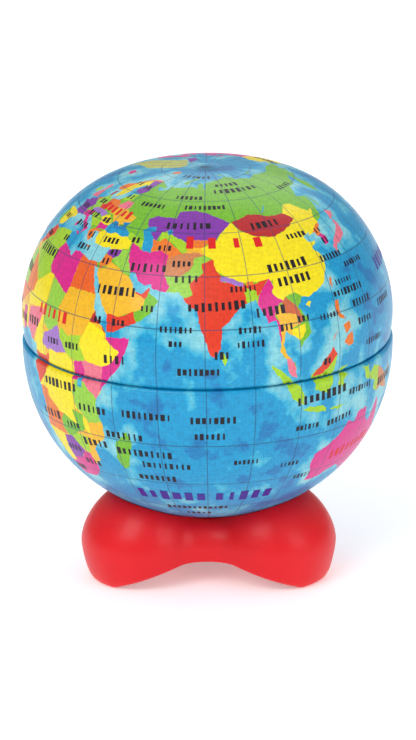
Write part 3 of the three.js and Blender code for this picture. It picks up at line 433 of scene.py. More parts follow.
def lid_path():
    """The lid's outside from the pole down to the end of its rolled edge."""
    edge = SEAM_Z - SEAM_GAP / 2 + LID_REST
    roll_r = GLOBE_R - LID_TAPER - LID_ROLL
    roll_z = edge + LID_ROLL * math.sin(LID_ROLL_TURN)
    widest = SEAM_Z + LID_WIDEST
    rise = LID_HIGH.z - widest
    dome = []
    for i in range(DOME_STEPS + 1):
        turn = math.pi / 2 * (1 - i / DOME_STEPS)
        dome.append((
            GLOBE_R * max(math.cos(turn), 0) ** (2 / LID_ACROSS),
            widest + rise * math.sin(turn) ** (2 / LID_UPWARD),
        ))
    side = []
    for i in range(1, 8):
        share = i / 8
        side.append((GLOBE_R - LID_TAPER * share * share, widest + (roll_z - widest) * share))
    roll = arc(roll_r, roll_z, LID_ROLL, 0, -math.degrees(LID_ROLL_TURN), 12)
    return dome + side + roll, roll[-1:]


def bowl_path():
    """The bowl's outside from its hole up to the shoulder, and on over the neck to its curled rim."""
    start = math.acos((HOLE_R / GLOBE_R) ** (BOWL_FULLNESS / 2))
    bowl = []
    for i in range(DOME_STEPS):
        turn = start * (1 - i / DOME_STEPS)
        bowl.append((
            GLOBE_R * math.cos(turn) ** (2 / BOWL_FULLNESS),
            BOWL_WIDEST - BOWL_DEPTH * math.sin(turn) ** (2 / BOWL_FULLNESS),
        ))
    shoulder = arc(GLOBE_R - SHOULDER, BOWL_WIDEST, SHOULDER, 0, 90, 8)
    bottom = BOWL_WIDEST + SHOULDER + NECK_FILLET
    neck = arc(NECK_R + NECK_FILLET, bottom, NECK_FILLET, 270, 180, FILLET_STEPS)
    neck += arc(NECK_R - NECK_CURL, BOWL_HIGH.z - NECK_CURL, NECK_CURL, 0, 150, 14)
    return bowl + shoulder, neck


def lengths(path):
    run = [0.0]
    for (r0, z0), (r1, z1) in zip(path, path[1:]):
        run.append(run[-1] + math.hypot(r1 - r0, z1 - z0))
    return np.array(run)


def latitude_of(distance, total):
    """Degrees of latitude at a distance along the print from its pole, 90 at the pole and 0 at total."""
    colatitude = np.linspace(0, 90, 400)
    stretch = (total - 90 * POLE_SCALE) * (colatitude / 90) ** SEAM_STRETCH
    return 90 - np.interp(distance, colatitude * POLE_SCALE + stretch, colatitude)


def virtual_pole_distance():
    """Along the bowl's curve, from where its closed bottom would be to the edge of its hole."""
    turns = np.linspace(math.pi / 2, math.acos((HOLE_R / GLOBE_R) ** (BOWL_FULLNESS / 2)), DOME_STEPS)
    r = GLOBE_R * np.maximum(np.cos(turns), 0) ** (2 / BOWL_FULLNESS)
    z = BOWL_WIDEST - BOWL_DEPTH * np.sin(turns) ** (2 / BOWL_FULLNESS)
    return float(np.hypot(np.diff(r), np.diff(z)).sum())


def offset_path(path, thickness, side):
    """The path moved across itself by a thickness."""
    moved = []
    for i, (r, z) in enumerate(path):
        r0, z0 = path[max(i - 1, 0)]
        r1, z1 = path[min(i + 1, len(path) - 1)]
        run = math.hypot(r1 - r0, z1 - z0)
        moved.append((max(r - side * (z1 - z0) / run * thickness, 0), z + side * (r1 - r0) / run * thickness))
    return moved


def printed_sheet(name, printed, plain, north, start_distance, turn):
    """One stamped shell as a closed mesh. The printed part's mesh follows the map's outlines, so that
    each colour ends on an edge. printed starts at the pole's side; plain goes on from its end."""
    sign = 1 if north else -1
    run = lengths(printed)
    total = start_distance + run[-1]
    path_lat = sign * latitude_of(start_distance + run, total)
    path_r, path_z = np.array(printed).T
    order = np.argsort(path_lat)

    def place(lon, lat):
        r = np.interp(lat, path_lat[order], path_r[order])
        z = np.interp(lat, path_lat[order], path_z[order])
        angle = math.radians(-90) + np.radians(lon - FRONT_LONGITUDE + turn)
        return np.stack([r * np.cos(angle), r * np.sin(angle), z], axis=1)

    low, high = sorted((float(path_lat[0]), float(path_lat[-1])))
    points, index, edges = [], {}, []

    def add(x, y):
        key = (round(x, 4), round(y, 4))
        if key not in index:
            index[key] = len(points)
            points.append(key)
        return index[key]

    columns = round(360 / GRID_LON)
    lons = [WEST + GRID_LON * i for i in range(columns + 1)]
    rows = np.interp(
        np.linspace(0, run[-1], max(8, round(run[-1] / ROW_SPACING))), run, path_lat
    )
    rows = list(rows[np.abs(rows - path_lat[-1]) > EDGE_CLEAR]) + list(path_lat[run > run[-1] - EDGE_BAND])
    lats = sorted({round(float(v), 4) for v in rows} | {round(low, 4), round(high, 4)})
    grid = [[add(x, y) for x in lons] for y in lats]
    for line in (grid[0], grid[-1]):
        edges += list(zip(line, line[1:]))
    for side in (0, -1):
        column = [line[side] for line in grid]
        edges += list(zip(column, column[1:]))

    def keep(points_of):
        clipped = [(min(max(x, WEST), EAST), min(max(y, low), high)) for x, y in points_of]
        nodes = [add(x, y) for x, y in clipped]
        for a, b in zip(nodes, nodes[1:] + nodes[:1]):
            same_end = clipped_on_edge(points[a], points[b], low, high)
            if a != b and not same_end:
                edges.append((a, b))

    for outline_points in list(COASTS.values()) + list(WATERS.values()) + [b for _, b in BORDERS]:
        ys = [y for _, y in outline_points]
        if max(ys) > low and min(ys) < high:
            keep(outline_points)

    flat = [Vector(p) for p in points]
    verts, _, faces, *_ = delaunay_2d_cdt(flat, edges, [], 0, 1e-5)
    lonlat = np.array([tuple(v) for v in verts])
    faces = np.array([tuple(f) for f in faces])
    centres = lonlat[faces].mean(axis=1)
    ink, sea = printed_colours(centres[:, 0], centres[:, 1])
    corners = lonlat[faces]
    turned = (corners[:, 1, 0] - corners[:, 0, 0]) * (corners[:, 2, 1] - corners[:, 0, 1])
    turned -= (corners[:, 2, 0] - corners[:, 0, 0]) * (corners[:, 1, 1] - corners[:, 0, 1])
    faces[turned < 0] = faces[turned < 0][:, ::-1]

    mesh_verts = [tuple(p) for p in place(lonlat[:, 0], lonlat[:, 1])]
    mesh_faces = [tuple(f) for f in faces]
    uvs = [tuple(tuple(lonlat[v]) for v in f) for f in faces]
    colours = [tuple(c) for c in ink]
    kinds = [SEA_INK if wet else LAND_INK for wet in sea]

    # the rest of the section: rolled edge or neck, then back along the inside
    thickness_side = -1 if north else 1
    meets = math.dist(printed[-1], plain[0]) < SAME_PLACE
    whole = printed + plain[1 if meets else 0 :]
    inside_path = offset_path(whole, TIN, thickness_side)
    loop = whole[len(printed) - 1 :] + inside_path[::-1]
    if not north:
        loop.append(printed[0])
    seam_lat = path_lat[-1]
    ring_ids = []
    for k, (r, z) in enumerate(loop):
        if k == 0 or (k == len(loop) - 1 and not north):
            wanted = seam_lat if k == 0 else path_lat[0]
            row = grid[lats.index(min(lats, key=lambda v: abs(v - wanted)))]
            target = np.array([points[i] for i in row])
            near = [int(np.argmin(np.abs(lonlat - t).sum(axis=1))) for t in target]
            ring_ids.append(near)
            continue
        angles = [math.radians(-90 + lon - FRONT_LONGITUDE + turn) for lon in lons]
        ids = []
        for a in angles:
            ids.append(len(mesh_verts))
            mesh_verts.append((r * math.cos(a), r * math.sin(a), z))
        ring_ids.append(ids)
    rolled = len(whole) - len(printed)
    for k, (a, b) in enumerate(zip(ring_ids, ring_ids[1:])):
        for i in range(columns):
            quad = (a[i], a[i + 1], b[i + 1], b[i])
            quad = quad[::-1] if north else quad
            mesh_faces.append(quad)
            uvs.append(tuple((0.0, 0.0) for _ in quad))
            colours.append(linear(OCEAN))
            kinds.append(PRINTED_EDGE if k < (rolled if north else NECK_RINGS) else BARE_TIN)
    shore = coast_distance(lonlat)
    shore = list(shore) + [OFF_THE_PRINT] * (len(mesh_verts) - len(shore))
    return build_shell(name, mesh_verts, mesh_faces, uvs, colours, kinds, shore)


def coast_distance(lonlat):
    """Degrees from each place to the nearest point of a coast."""
    coast = np.array([point for points in COASTS.values() for point in points])
    nearest = np.empty(len(lonlat))
    for start in range(0, len(lonlat), COAST_BATCH):
        part = lonlat[start : start + COAST_BATCH]
        east = (part[:, None, 0] - coast[None, :, 0]) * np.cos(np.radians(part[:, None, 1]))
        north = part[:, None, 1] - coast[None, :, 1]
        nearest[start : start + COAST_BATCH] = np.sqrt((east**2 + north**2).min(axis=1))
    return nearest


def clipped_on_edge(a, b, low, high):
    """Whether a side lies along the print's own border."""
    return any(abs(a[i] - v) < 1e-4 and abs(b[i] - v) < 1e-4
               for i, v in ((0, WEST), (0, EAST), (1, low), (1, high)))


def build_shell(name, verts, faces, uvs, colours, kinds, shore):
    mesh = bpy.data.meshes.new(name)
    mesh.from_pydata(verts, [], faces)
    uv_layer = mesh.uv_layers.new(name="lonlat")
    uv_layer.data.foreach_set("uv", [c for face in uvs for pair in face for c in pair])
    corner_colours = []
    for face, colour in zip(faces, colours):
        corner_colours += list(colour) * len(face)
    ink = mesh.color_attributes.new("print_colour", "FLOAT_COLOR", "CORNER")
    ink.data.foreach_set("color", corner_colours)
    kind = mesh.attributes.new("sheet_kind", "FLOAT", "FACE")
    kind.data.foreach_set("value", kinds)
    coast = mesh.attributes.new("coast_distance", "FLOAT", "POINT")
    coast.data.foreach_set("value", shore)
    mesh.polygons.foreach_set("use_smooth", [True] * len(faces))
    shell = bpy.data.objects.new(name, mesh)
    bpy.context.scene.collection.objects.link(shell)
    form = bmesh.new()
    form.from_mesh(mesh)
    bmesh.ops.remove_doubles(form, verts=form.verts, dist=0.002 * MM)
    bmesh.ops.dissolve_degenerate(form, dist=0.0005 * MM, edges=form.edges)
    form.to_mesh(mesh)
    form.free()
    mesh.update()
    return shell


def profile_normals(verts, path):
    """Smooth normals for points on a turned form, from its closed section."""
    section = np.array(path)
    along = np.roll(section, -1, axis=0) - section
    across = np.stack([-along[:, 1], along[:, 0]], axis=1)
    across /= np.maximum(np.hypot(*across.T), 1e-12)[:, None]
    corner = across + np.roll(across, 1, axis=0)
    corner /= np.maximum(np.hypot(*corner.T), 1e-12)[:, None]
    flat = np.stack([np.hypot(verts[:, 0], verts[:, 1]), verts[:, 2]], axis=1)
    best = np.full(len(verts), np.inf)
    normal = np.zeros((len(verts), 2))
    following = np.roll(corner, -1, axis=0)
    for i, step in enumerate(along):
        size = max(float(step @ step), 1e-18)
        share = np.clip(((flat - section[i]) @ step) / size, 0, 1)
        gap = np.hypot(*(flat - section[i] - share[:, None] * step).T)
        nearer = gap < best
        best[nearer] = gap[nearer]
        blend = corner[i] * (1 - share[:, None]) + following[i] * share[:, None]
        normal[nearer] = blend[nearer]
    around = np.arctan2(verts[:, 1], verts[:, 0])
    return np.stack([normal[:, 0] * np.cos(around), normal[:, 0] * np.sin(around), normal[:, 1]], axis=1)


# ---------------------------------------------------------------- finishes
def node(tree, kind, settings=None, **inputs):
    """Adds a node with its settings, and sets or links its inputs by their names, spaces as _."""
    made = tree.nodes.new(kind)
    for key, value in (settings or {}).items():
        setattr(made, key, value)
    for key, value in inputs.items():
        place = int(key[1:]) if key[0] == "i" and key[1:].isdigit() else key.replace("_", " ")
        if isinstance(value, bpy.types.NodeSocket):
            tree.links.new(value, made.inputs[place])
        else:
            made.inputs[place].default_value = value
    return made


def new_material(name):
    made = bpy.data.materials.new(name)
    made.use_nodes = True
    made.node_tree.nodes.clear()
    return made, made.node_tree


def grained(name, low, high, grain, rough_low, rough_high, bump, stretch=(1, 1, 1), **shader):
    """A finish whose colour and roughness vary over a grain of that size in metres, a little raised."""
    material, tree = new_material(name)
    where = node(tree, "ShaderNodeTexCoord").outputs["Object"]
    laid = node(tree, "ShaderNodeMapping", Vector=where, Scale=stretch).outputs["Vector"]
    noise = node(tree, "ShaderNodeTexNoise", Vector=laid, Scale=1 / grain, Detail=3.0).outputs["Fac"]
    colour = node(
        tree, "ShaderNodeMix", {"data_type": "RGBA"}, i0=noise, i6=linear(low), i7=linear(high)
    ).outputs[2]
    rough = node(
        tree, "ShaderNodeMapRange", Value=noise, To_Min=rough_low, To_Max=rough_high
    ).outputs["Result"]
    relief = node(
        tree, "ShaderNodeBump", Height=noise, Strength=bump, Distance=grain * 0.1
    ).outputs["Normal"]
    surface = node(
        tree, "ShaderNodeBsdfPrincipled", Base_Color=colour, Roughness=rough, Normal=relief, **shader
    ).outputs["BSDF"]
    node(tree, "ShaderNodeOutputMaterial", Surface=surface)
    return material


GRATICULE = 15  # degrees between lines
GRATICULE_LINE = 0.17 * MM  # width of a line


def printed_tinplate():
    """Lithographed tinplate: flat inks on white base coat under gloss varnish, on stamped sheet. The
    eye gets bright flat colours with fine dots, thin map lines and a clear reflection over them."""
    material, tree = new_material("lithographed_tinplate")
    ink = node(tree, "ShaderNodeAttribute", {"attribute_name": "print_colour"}).outputs["Color"]
    kind = node(tree, "ShaderNodeAttribute", {"attribute_name": "sheet_kind"}).outputs["Fac"]
    where = node(tree, "ShaderNodeTexCoord").outputs["Object"]
    lonlat = node(tree, "ShaderNodeSeparateXYZ", Vector=node(
        tree, "ShaderNodeUVMap", {"uv_map": "lonlat"}).outputs["UV"])
    xyz = node(tree, "ShaderNodeSeparateXYZ", Vector=where)

    # the sea: pale shelves and deeper patches about 5 mm across, paler near a coast
    depth = node(tree, "ShaderNodeTexNoise", Vector=where, Scale=1 / (5 * MM), Detail=5.0).outputs["Fac"]
    shore = node(tree, "ShaderNodeAttribute", {"attribute_name": "coast_distance"}).outputs["Fac"]
    near = node(
        tree, "ShaderNodeMapRange", Value=shore, From_Min=1.0, From_Max=5.0, To_Min=0.17, To_Max=0.0
    ).outputs["Result"]
    paler = node(tree, "ShaderNodeMath", {"operation": "ADD"}, i0=depth, i1=near).outputs[0]
    shelves = node(tree, "ShaderNodeValToRGB", Fac=paler)
    ramp = shelves.color_ramp
    ramp.elements[0].position, ramp.elements[0].color = 0.38, linear(DEEP)
    ramp.elements[1].position, ramp.elements[1].color = 0.78, linear(SHELF)
    for place, shade in ((0.44, OCEAN), (0.58, OCEAN), (0.62, "#2FA8CE")):
        ramp.elements.new(place).color = linear(shade)
    at_sea = node(
        tree, "ShaderNodeMath", {"operation": "GREATER_THAN"}, i0=kind, i1=(LAND_INK + SEA_INK) / 2
    ).outputs[0]
    colour = node(
        tree, "ShaderNodeMix", {"data_type": "RGBA"}, i0=at_sea, i6=ink, i7=shelves.outputs["Color"]
    ).outputs[2]

    # halftone: dots 0.55 mm apart, far coarser than a press prints, so that they show
    dots = node(
        tree, "ShaderNodeTexVoronoi", {"feature": "F1"}, Vector=where, Scale=1 / (0.55 * MM),
        Randomness=0.5,
    ).outputs["Distance"]
    dotted = node(
        tree, "ShaderNodeMapRange", Value=dots, From_Min=0.2, From_Max=0.7, To_Min=0.0, To_Max=0.3
    ).outputs["Result"]
    colour = node(
        tree, "ShaderNodeMix", {"data_type": "RGBA", "blend_type": "SOFT_LIGHT"}, i0=dotted, i6=colour,
        i7=linear("#FFFFFF"),
    ).outputs[2]

    # unevenness in the ink, 0.6 mm across
    soft = node(tree, "ShaderNodeTexNoise", Vector=where, Scale=1 / (0.6 * MM), Detail=2.0).outputs["Fac"]
    uneven = node(
        tree, "ShaderNodeMapRange", Value=soft, From_Min=0.3, From_Max=0.7, To_Min=0.0, To_Max=0.16
    ).outputs["Result"]
    colour = node(
        tree, "ShaderNodeMix", {"data_type": "RGBA", "blend_type": "MULTIPLY"}, i0=uneven, i6=colour,
        i7=linear("#16324C"),
    ).outputs[2]

    # the graticule: lines every 15 degrees, 0.17 mm wide
    squares = [
        node(tree, "ShaderNodeMath", {"operation": "MULTIPLY"}, i0=side, i1=side).outputs[0]
        for side in (xyz.outputs[0], xyz.outputs[1])
    ]
    squared = node(tree, "ShaderNodeMath", {"operation": "ADD"}, i0=squares[0], i1=squares[1]).outputs[0]
    around = node(tree, "ShaderNodeMath", {"operation": "SQRT"}, i0=squared).outputs[0]
    eastward = node(
        tree, "ShaderNodeMath", {"operation": "MULTIPLY"}, i0=around, i1=math.radians(1)
    ).outputs[0]
    off_line = []
    for degrees, per_degree in ((lonlat.outputs[0], eastward), (lonlat.outputs[1], POLE_SCALE)):
        away = node(
            tree, "ShaderNodeMath", {"operation": "PINGPONG"}, i0=degrees, i1=GRATICULE / 2
        ).outputs[0]
        off_line.append(
            node(tree, "ShaderNodeMath", {"operation": "MULTIPLY"}, i0=away, i1=per_degree).outputs[0]
        )
    nearest = node(
        tree, "ShaderNodeMath", {"operation": "MINIMUM"}, i0=off_line[0], i1=off_line[1]
    ).outputs[0]
    line = node(
        tree, "ShaderNodeMath", {"operation": "LESS_THAN"}, i0=nearest, i1=GRATICULE_LINE / 2
    ).outputs[0]
    on_map = node(
        tree, "ShaderNodeMath", {"operation": "LESS_THAN"}, i0=kind, i1=(SEA_INK + BARE_TIN) / 2
    ).outputs[0]
    line = node(tree, "ShaderNodeMath", {"operation": "MULTIPLY"}, i0=line, i1=on_map).outputs[0]
    faint = node(tree, "ShaderNodeMath", {"operation": "MULTIPLY"}, i0=line, i1=0.6).outputs[0]
    colour = node(
        tree, "ShaderNodeMix", {"data_type": "RGBA"}, i0=faint, i6=colour, i7=linear("#12385E")
    ).outputs[2]

    varnished = node(
        tree, "ShaderNodeBsdfPrincipled", Base_Color=colour, Roughness=0.45, IOR=1.5,
        Specular_IOR_Level=0.3, Coat_Weight=0.25, Coat_Roughness=0.14, Coat_IOR=1.5,
    ).outputs["BSDF"]
    node(tree, "ShaderNodeOutputMaterial", Surface=varnished)
    return material


PRINT = printed_tinplate()
# Bare tinplate: rolled and tinned, so silvery with a faint grain and a blurred reflection.
TINNED = grained("bare_tinplate", "#BFC2C6", "#DADCDF", 0.6 * MM, 0.22, 0.34, 0.1, (1, 1, 4), Metallic=1.0)
# Red ABS, moulded in a polished tool: a strong even red, a soft broad gloss and a trace of flow.
RED_ABS = grained(
    "polished_red_abs", "#DC000F", "#E40317", 3.5 * MM, 0.4, 0.46, 0.03, IOR=1.54,
    Specular_IOR_Level=0.32, Coat_Weight=0.06, Coat_Roughness=0.08,
)
# The same red with a spark-eroded face: a fine even matt grain.
SATIN_RED_ABS = grained("satin_red_abs", "#C90E22", "#D9172B", 0.35 * MM, 0.42, 0.56, 0.35, IOR=1.54)
# White polypropylene: slightly waxy and milky, with a soft broad gloss.
WHITE_PP = grained(
    "satin_white_polypropylene", "#E7E6E1", "#F3F2EE", 0.5 * MM, 0.34, 0.48, 0.2, IOR=1.49,
)
# Magnesium-zinc alloy, die cast and tumbled: dull grey metal with a pebbled skin.
CAST_ALLOY = grained("tumbled_cast_alloy", "#8F9296", "#B4B7BB", 0.45 * MM, 0.38, 0.55, 0.5, Metallic=1.0)
# Hardened steel, ground lengthwise: bright, with fine lines along the blade.
GROUND_STEEL = grained(
    "ground_blade_steel", "#A9ABAE", "#D2D4D6", 0.5 * MM, 0.14, 0.3, 0.25, (6, 6, 0.4), Metallic=1.0,
)
# Zinc-plated steel: bluish bright metal with slightly cloudy patches.
ZINC = grained("zinc_plated_steel", "#A7AEB6", "#C9CFD6", 0.7 * MM, 0.2, 0.36, 0.15, Metallic=1.0)


# ---------------------------------------------------------------- shells and their small print
def surface_of(printed, north, start_distance, turn):
    """Where a place on the map lies, as a function of longitude, latitude and lift off the tin."""
    sign = 1 if north else -1
    run = lengths(printed)
    lat_along = sign * latitude_of(start_distance + run, start_distance + run[-1])
    order = np.argsort(lat_along)
    radii, heights = np.array(printed).T

    def point(lon, lat):
        r = float(np.interp(lat, lat_along[order], radii[order]))
        z = float(np.interp(lat, lat_along[order], heights[order]))
        angle = math.radians(lon - FRONT_LONGITUDE + turn - 90)
        return Vector((r * math.cos(angle), r * math.sin(angle), z))

    def frame_at(lon, lat):
        here = point(lon, lat)
        east = (point(lon + 0.5, lat) - point(lon - 0.5, lat)).normalized()
        up = (point(lon, lat + 0.5) - point(lon, lat - 0.5)).normalized()
        return here, east, east.cross(up).normalized()

    return frame_at


def mark_tree():
    """Plain bars set on points, each turned to the tin, with heights that vary by a fixed seed."""
    tree = bpy.data.node_groups.new("printed_mark_rows", "GeometryNodeTree")
    face = tree.interface
    face.new_socket("Marks", in_out="INPUT", socket_type="NodeSocketGeometry")
    for title, value in (("Bar Width", 0.27 * MM), ("Ink Thickness", 0.03 * MM), ("Least Height", 0.7)):
        face.new_socket(title, in_out="INPUT", socket_type="NodeSocketFloat").default_value = value
    face.new_socket("Seed", in_out="INPUT", socket_type="NodeSocketInt").default_value = 4
    face.new_socket("Ink", in_out="INPUT", socket_type="NodeSocketMaterial")
    face.new_socket("Bars", in_out="OUTPUT", socket_type="NodeSocketGeometry")
    given = node(tree, "NodeGroupInput")

    field = {
        title: node(
            tree, "GeometryNodeInputNamedAttribute", {"data_type": kind}, Name=title
        ).outputs["Attribute"]
        for title, kind in (
            ("outwards", "FLOAT_VECTOR"), ("east", "FLOAT_VECTOR"), ("tall", "FLOAT"), ("wide", "FLOAT"),
        )
    }
    outwards = node(
        tree, "FunctionNodeAlignRotationToVector", {"axis": "Z"}, Vector=field["outwards"]
    ).outputs[0]
    turned = node(
        tree, "FunctionNodeAlignRotationToVector", {"axis": "X", "pivot_axis": "Z"}, Rotation=outwards,
        Vector=field["east"],
    ).outputs[0]
    varied = node(
        tree, "FunctionNodeRandomValue", {"data_type": "FLOAT"}, i2=given.outputs["Least Height"],
        i3=1.0, Seed=given.outputs["Seed"],
    ).outputs[1]
    tall = node(
        tree, "ShaderNodeMath", {"operation": "MULTIPLY"}, i0=field["tall"], i1=varied
    ).outputs[0]
    broad = node(
        tree, "FunctionNodeRandomValue", {"data_type": "FLOAT"}, i2=0.7, i3=1.9, Seed=node(
            tree, "ShaderNodeMath", i0=given.outputs["Seed"], i1=7.0).outputs[0],
    ).outputs[1]
    share = node(
        tree, "ShaderNodeMath", {"operation": "MULTIPLY"}, i0=field["wide"], i1=broad
    ).outputs[0]
    wide = node(
        tree, "ShaderNodeMath", {"operation": "MULTIPLY"}, i0=share, i1=given.outputs["Bar Width"]
    ).outputs[0]
    size = node(tree, "ShaderNodeCombineXYZ", X=wide, Y=tall, Z=given.outputs["Ink Thickness"])
    bar = node(tree, "GeometryNodeMeshCube", Size=(1.0, 1.0, 1.0)).outputs["Mesh"]
    placed = node(
        tree, "GeometryNodeInstanceOnPoints", Points=given.outputs["Marks"], Instance=bar,
        Rotation=turned, Scale=size.outputs[0],
    ).outputs["Instances"]
    whole = node(tree, "GeometryNodeRealizeInstances", Geometry=placed).outputs["Geometry"]
    inked = node(
        tree, "GeometryNodeSetMaterial", Geometry=whole, Material=given.outputs["Ink"]
    ).outputs["Geometry"]
    node(tree, "NodeGroupOutput", Bars=inked)
    return tree


MARKS = mark_tree()


def printed_marks(name, rows, frame_at, ink, body):
    """Rows of bars on one shell. A row is longitude, latitude, bars, height in mm and slant."""
    places, outwards, easts, talls, wides = [], [], [], [], []
    for lon, lat, count, height, slant in rows:
        here, east, out = frame_at(lon, lat)
        north = out.cross(east)
        pitch = height * 0.7 * MM
        for i in range(count):
            aside = (i - (count - 1) / 2) * pitch
            r = max(math.hypot(here.x, here.y), 2 * MM)
            step_lon = math.degrees(aside / r)
            step_lat = math.degrees(aside * slant / GLOBE_R)
            spot, along, up_off = frame_at(lon + step_lon, lat + step_lat)
            places.append(spot)
            outwards.append(up_off)
            easts.append((along + north * slant).normalized())
            talls.append(height * MM)
            wides.append(height)
    mesh = bpy.data.meshes.new(name + "_points")
    mesh.from_pydata(places, [], [])
    for title, values in (("outwards", outwards), ("east", easts)):
        field = mesh.attributes.new(title, "FLOAT_VECTOR", "POINT")
        field.data.foreach_set("vector", [c for v in values for c in v])
    for title, values in (("tall", talls), ("wide", wides)):
        field = mesh.attributes.new(title, "FLOAT", "POINT")
        field.data.foreach_set("value", values)
    holder = bpy.data.objects.new(name, mesh)
    bpy.context.scene.collection.objects.link(holder)
    rule = holder.modifiers.new("rows", "NODES")
    rule.node_group = MARKS
    sockets = {item.name: item.identifier for item in MARKS.interface.items_tree if item.in_out == "INPUT"}
    rule[sockets["Ink"]] = ink
    rule[sockets["Seed"]] = len(rows)
    bpy.context.view_layer.update()
    evaluated = holder.evaluated_get(bpy.context.evaluated_depsgraph_get())
    finished = bpy.data.meshes.new_from_object(evaluated)
    holder.modifiers.clear()
    holder.data = finished
    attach(holder, body)


def ink_of(name, low, high):
    """Overprinted ink: opaque and slightly raised, under the same varnish, with a mottle in its film."""
    return grained(name, low, high, 0.8 * MM, 0.42, 0.5, 0.05, IOR=1.5,
                   Specular_IOR_Level=0.2, Coat_Weight=0.15, Coat_Roughness=0.16)


SMALL_PATCH = 14  # square degrees, too small for a row
LARGE_PATCH = 700  # square degrees, room for three rows
ROW_STEP = 4.6  # degrees between rows
PATCH_OFF_SEAM, ROW_OFF_SEAM = 2.6, 2.4  # degrees of latitude that keep bars off the seam
BAR_DEGREES = 1.7  # of a patch's width, for one bar
ROW_SLANT = 0.04
SEA_ENLARGED = 1.25  # sea rows, to the size of the land's larger rows


def centre_rows():
    """A row or two of small bars on each coloured patch that is large enough."""
    rows = []
    for _, text in PATCHES:
        points = np.array(outline(text))
        x, y = points.T
        x2, y2 = np.roll(x, -1), np.roll(y, -1)
        cross = x * y2 - x2 * y
        area = cross.sum() / 2
        lon = float(((x + x2) * cross).sum() / (6 * area))
        lat = float(((y + y2) * cross).sum() / (6 * area))
        width = abs(area) ** 0.5 * math.cos(math.radians(lat))
        if abs(area) < SMALL_PATCH or abs(lat) < PATCH_OFF_SEAM:
            continue
        count = int(min(9, max(2, width / BAR_DEGREES)))
        height = 1.5 if width > 8 else 1.15
        rows.append((lon, lat, count, height, ROW_SLANT))
        if abs(area) > LARGE_PATCH:
            rows.append((lon + 1, lat - ROW_STEP, max(3, count - 2), height, ROW_SLANT))
            rows.append((lon + 2, lat - 2 * ROW_STEP, max(3, count - 3), height, ROW_SLANT))
    return rows


SEA_ROWS = [
    (73, 4.6, 8, 1.0, 0), (82, 4.4, 3, 1.0, 0), (66, 15, 7, 0.9, 0), (66, 11.4, 3, 0.9, 0),
    (89, 14.6, 5, 0.9, 0), (89, 11, 6, 0.9, 0), (56, -7, 9, 1.1, 0), (77, -7.5, 8, 1.1, 0),
    (76, -12, 6, 1.0, 0), (48, -13.5, 7, 1.1, 0), (54, -18.5, 10, 1.1, 0), (61, -22.5, 9, 1.05, 0),
    (51, -24, 12, 0.8, 0), (57, -28, 7, 1.05, 0), (56, -32.5, 4, 1.0, 0), (70, -45.6, 12, 0.95, 0),
    (70, -51.5, 5, 0.95, 0), (108, -12, 6, 0.85, 0), (116, -13.6, 4, 0.85, 0), (130, -5.6, 8, 0.9, 0),
    (121, -12, 7, 0.9, 0.1), (136, 27, 7, 0.85, 0), (128, 20, 9, 0.95, 0), (133, 16, 6, 0.95, 0),
    (127, 23, 6, 0.8, 0), (117, 15, 6, 0.8, 0), (60, 78, 6, 0.9, 0), (90, 79, 6, 0.9, 0),
    (133, 11, 5, 0.9, 0),
    (138, 5, 7, 0.9, 0), (37, -7.5, 6, 1.1, 0), (31, -26, 4, 1.0, 0), (20, -31, 3, 1.0, 0),
    (88, 26, 6, 0.85, 0), (100, 66, 8, 1.1, 0), (64, 62, 6, 0.85, 0), (44, 56, 6, 0.85, 0),
    (75, 56.6, 9, 0.85, 0),
    (113, -4.4, 9, 1.3, 0.05), (60, 58.6, 5, 0.9, 0), (82, 60.5, 6, 0.9, 0), (122, 63, 6, 0.9, 0),
    (96, 70.5, 5, 0.9, 0), (140, 61, 5, 0.85, 0), (37, 55.8, 5, 0.85, 0), (115, 40.6, 5, 0.9, 0),
    (126, 31, 7, 0.85, 0), (116, 21, 7, 0.85, 0), (80, 8.6, 3, 1.0, 0), (14, 46, 4, 0.8, 0),
    (13, 41, 4, 0.9, 0), (23, 34.6, 4, 0.9, 0), (144, 18, 8, 0.95, 0), (148, 13, 7, 0.95, 0),
    (47, -20.5, 9, 0.8, 0), (88, -21, 6, 0.8, 0), (104, -24, 5, 0.8, 0), (112, -31, 5, 0.8, 0),
    (-30, 30, 9, 1.0, 0), (-150, 10, 9, 1.0, 0), (-110, -25, 8, 1.0, 0), (-15, -15, 8, 1.0, 0),
]
GREAT_ROWS = [
    (60, -37.2, 6, 2.8, 0), (89.5, -37.2, 5, 2.8, 0), (-40, -8, 7, 2.3, 0), (-150, -12, 7, 2.3, 0),
    (-160, 28, 6, 2.3, 0), (160, 22, 6, 2.3, 0),
]
CONTINENT_ROWS = [
    (69, 41.5, 1, 2.4, 0), (78, 41.3, 1, 2.4, 0), (88, 41, 1, 2.4, 0), (97, 40.6, 1, 2.4, 0),
    (26, 50, 6, 1.7, -0.1), (19, 13.4, 6, 2.0, 0.0), (-98, 44, 6, 1.9, 0), (-60, -14, 6, 1.9, 0),
    (133, -24, 8, 1.9, 0.1),
]


def larger(rows):
    """Sea rows in the size of the land's larger rows."""
    return [(lon, lat, count, height * SEA_ENLARGED, slant) for lon, lat, count, height, slant in rows]


def spread(rows):
    """The rows with none on top of another: a later row that would touch an earlier one is left out."""
    kept = []
    for row in rows:
        clear = True
        for other in kept:
            near_lat = abs(row[1] - other[1]) * 0.5 < (row[3] + other[3]) * 0.5 + 0.35
            half = (row[2] * row[3] + other[2] * other[3]) * 0.35 + 0.4
            gap = abs(row[0] - other[0]) * 0.52 * math.cos(math.radians(row[1]))
            if near_lat and gap < half:
                clear = False
        if clear:
            kept.append(row)
    return kept


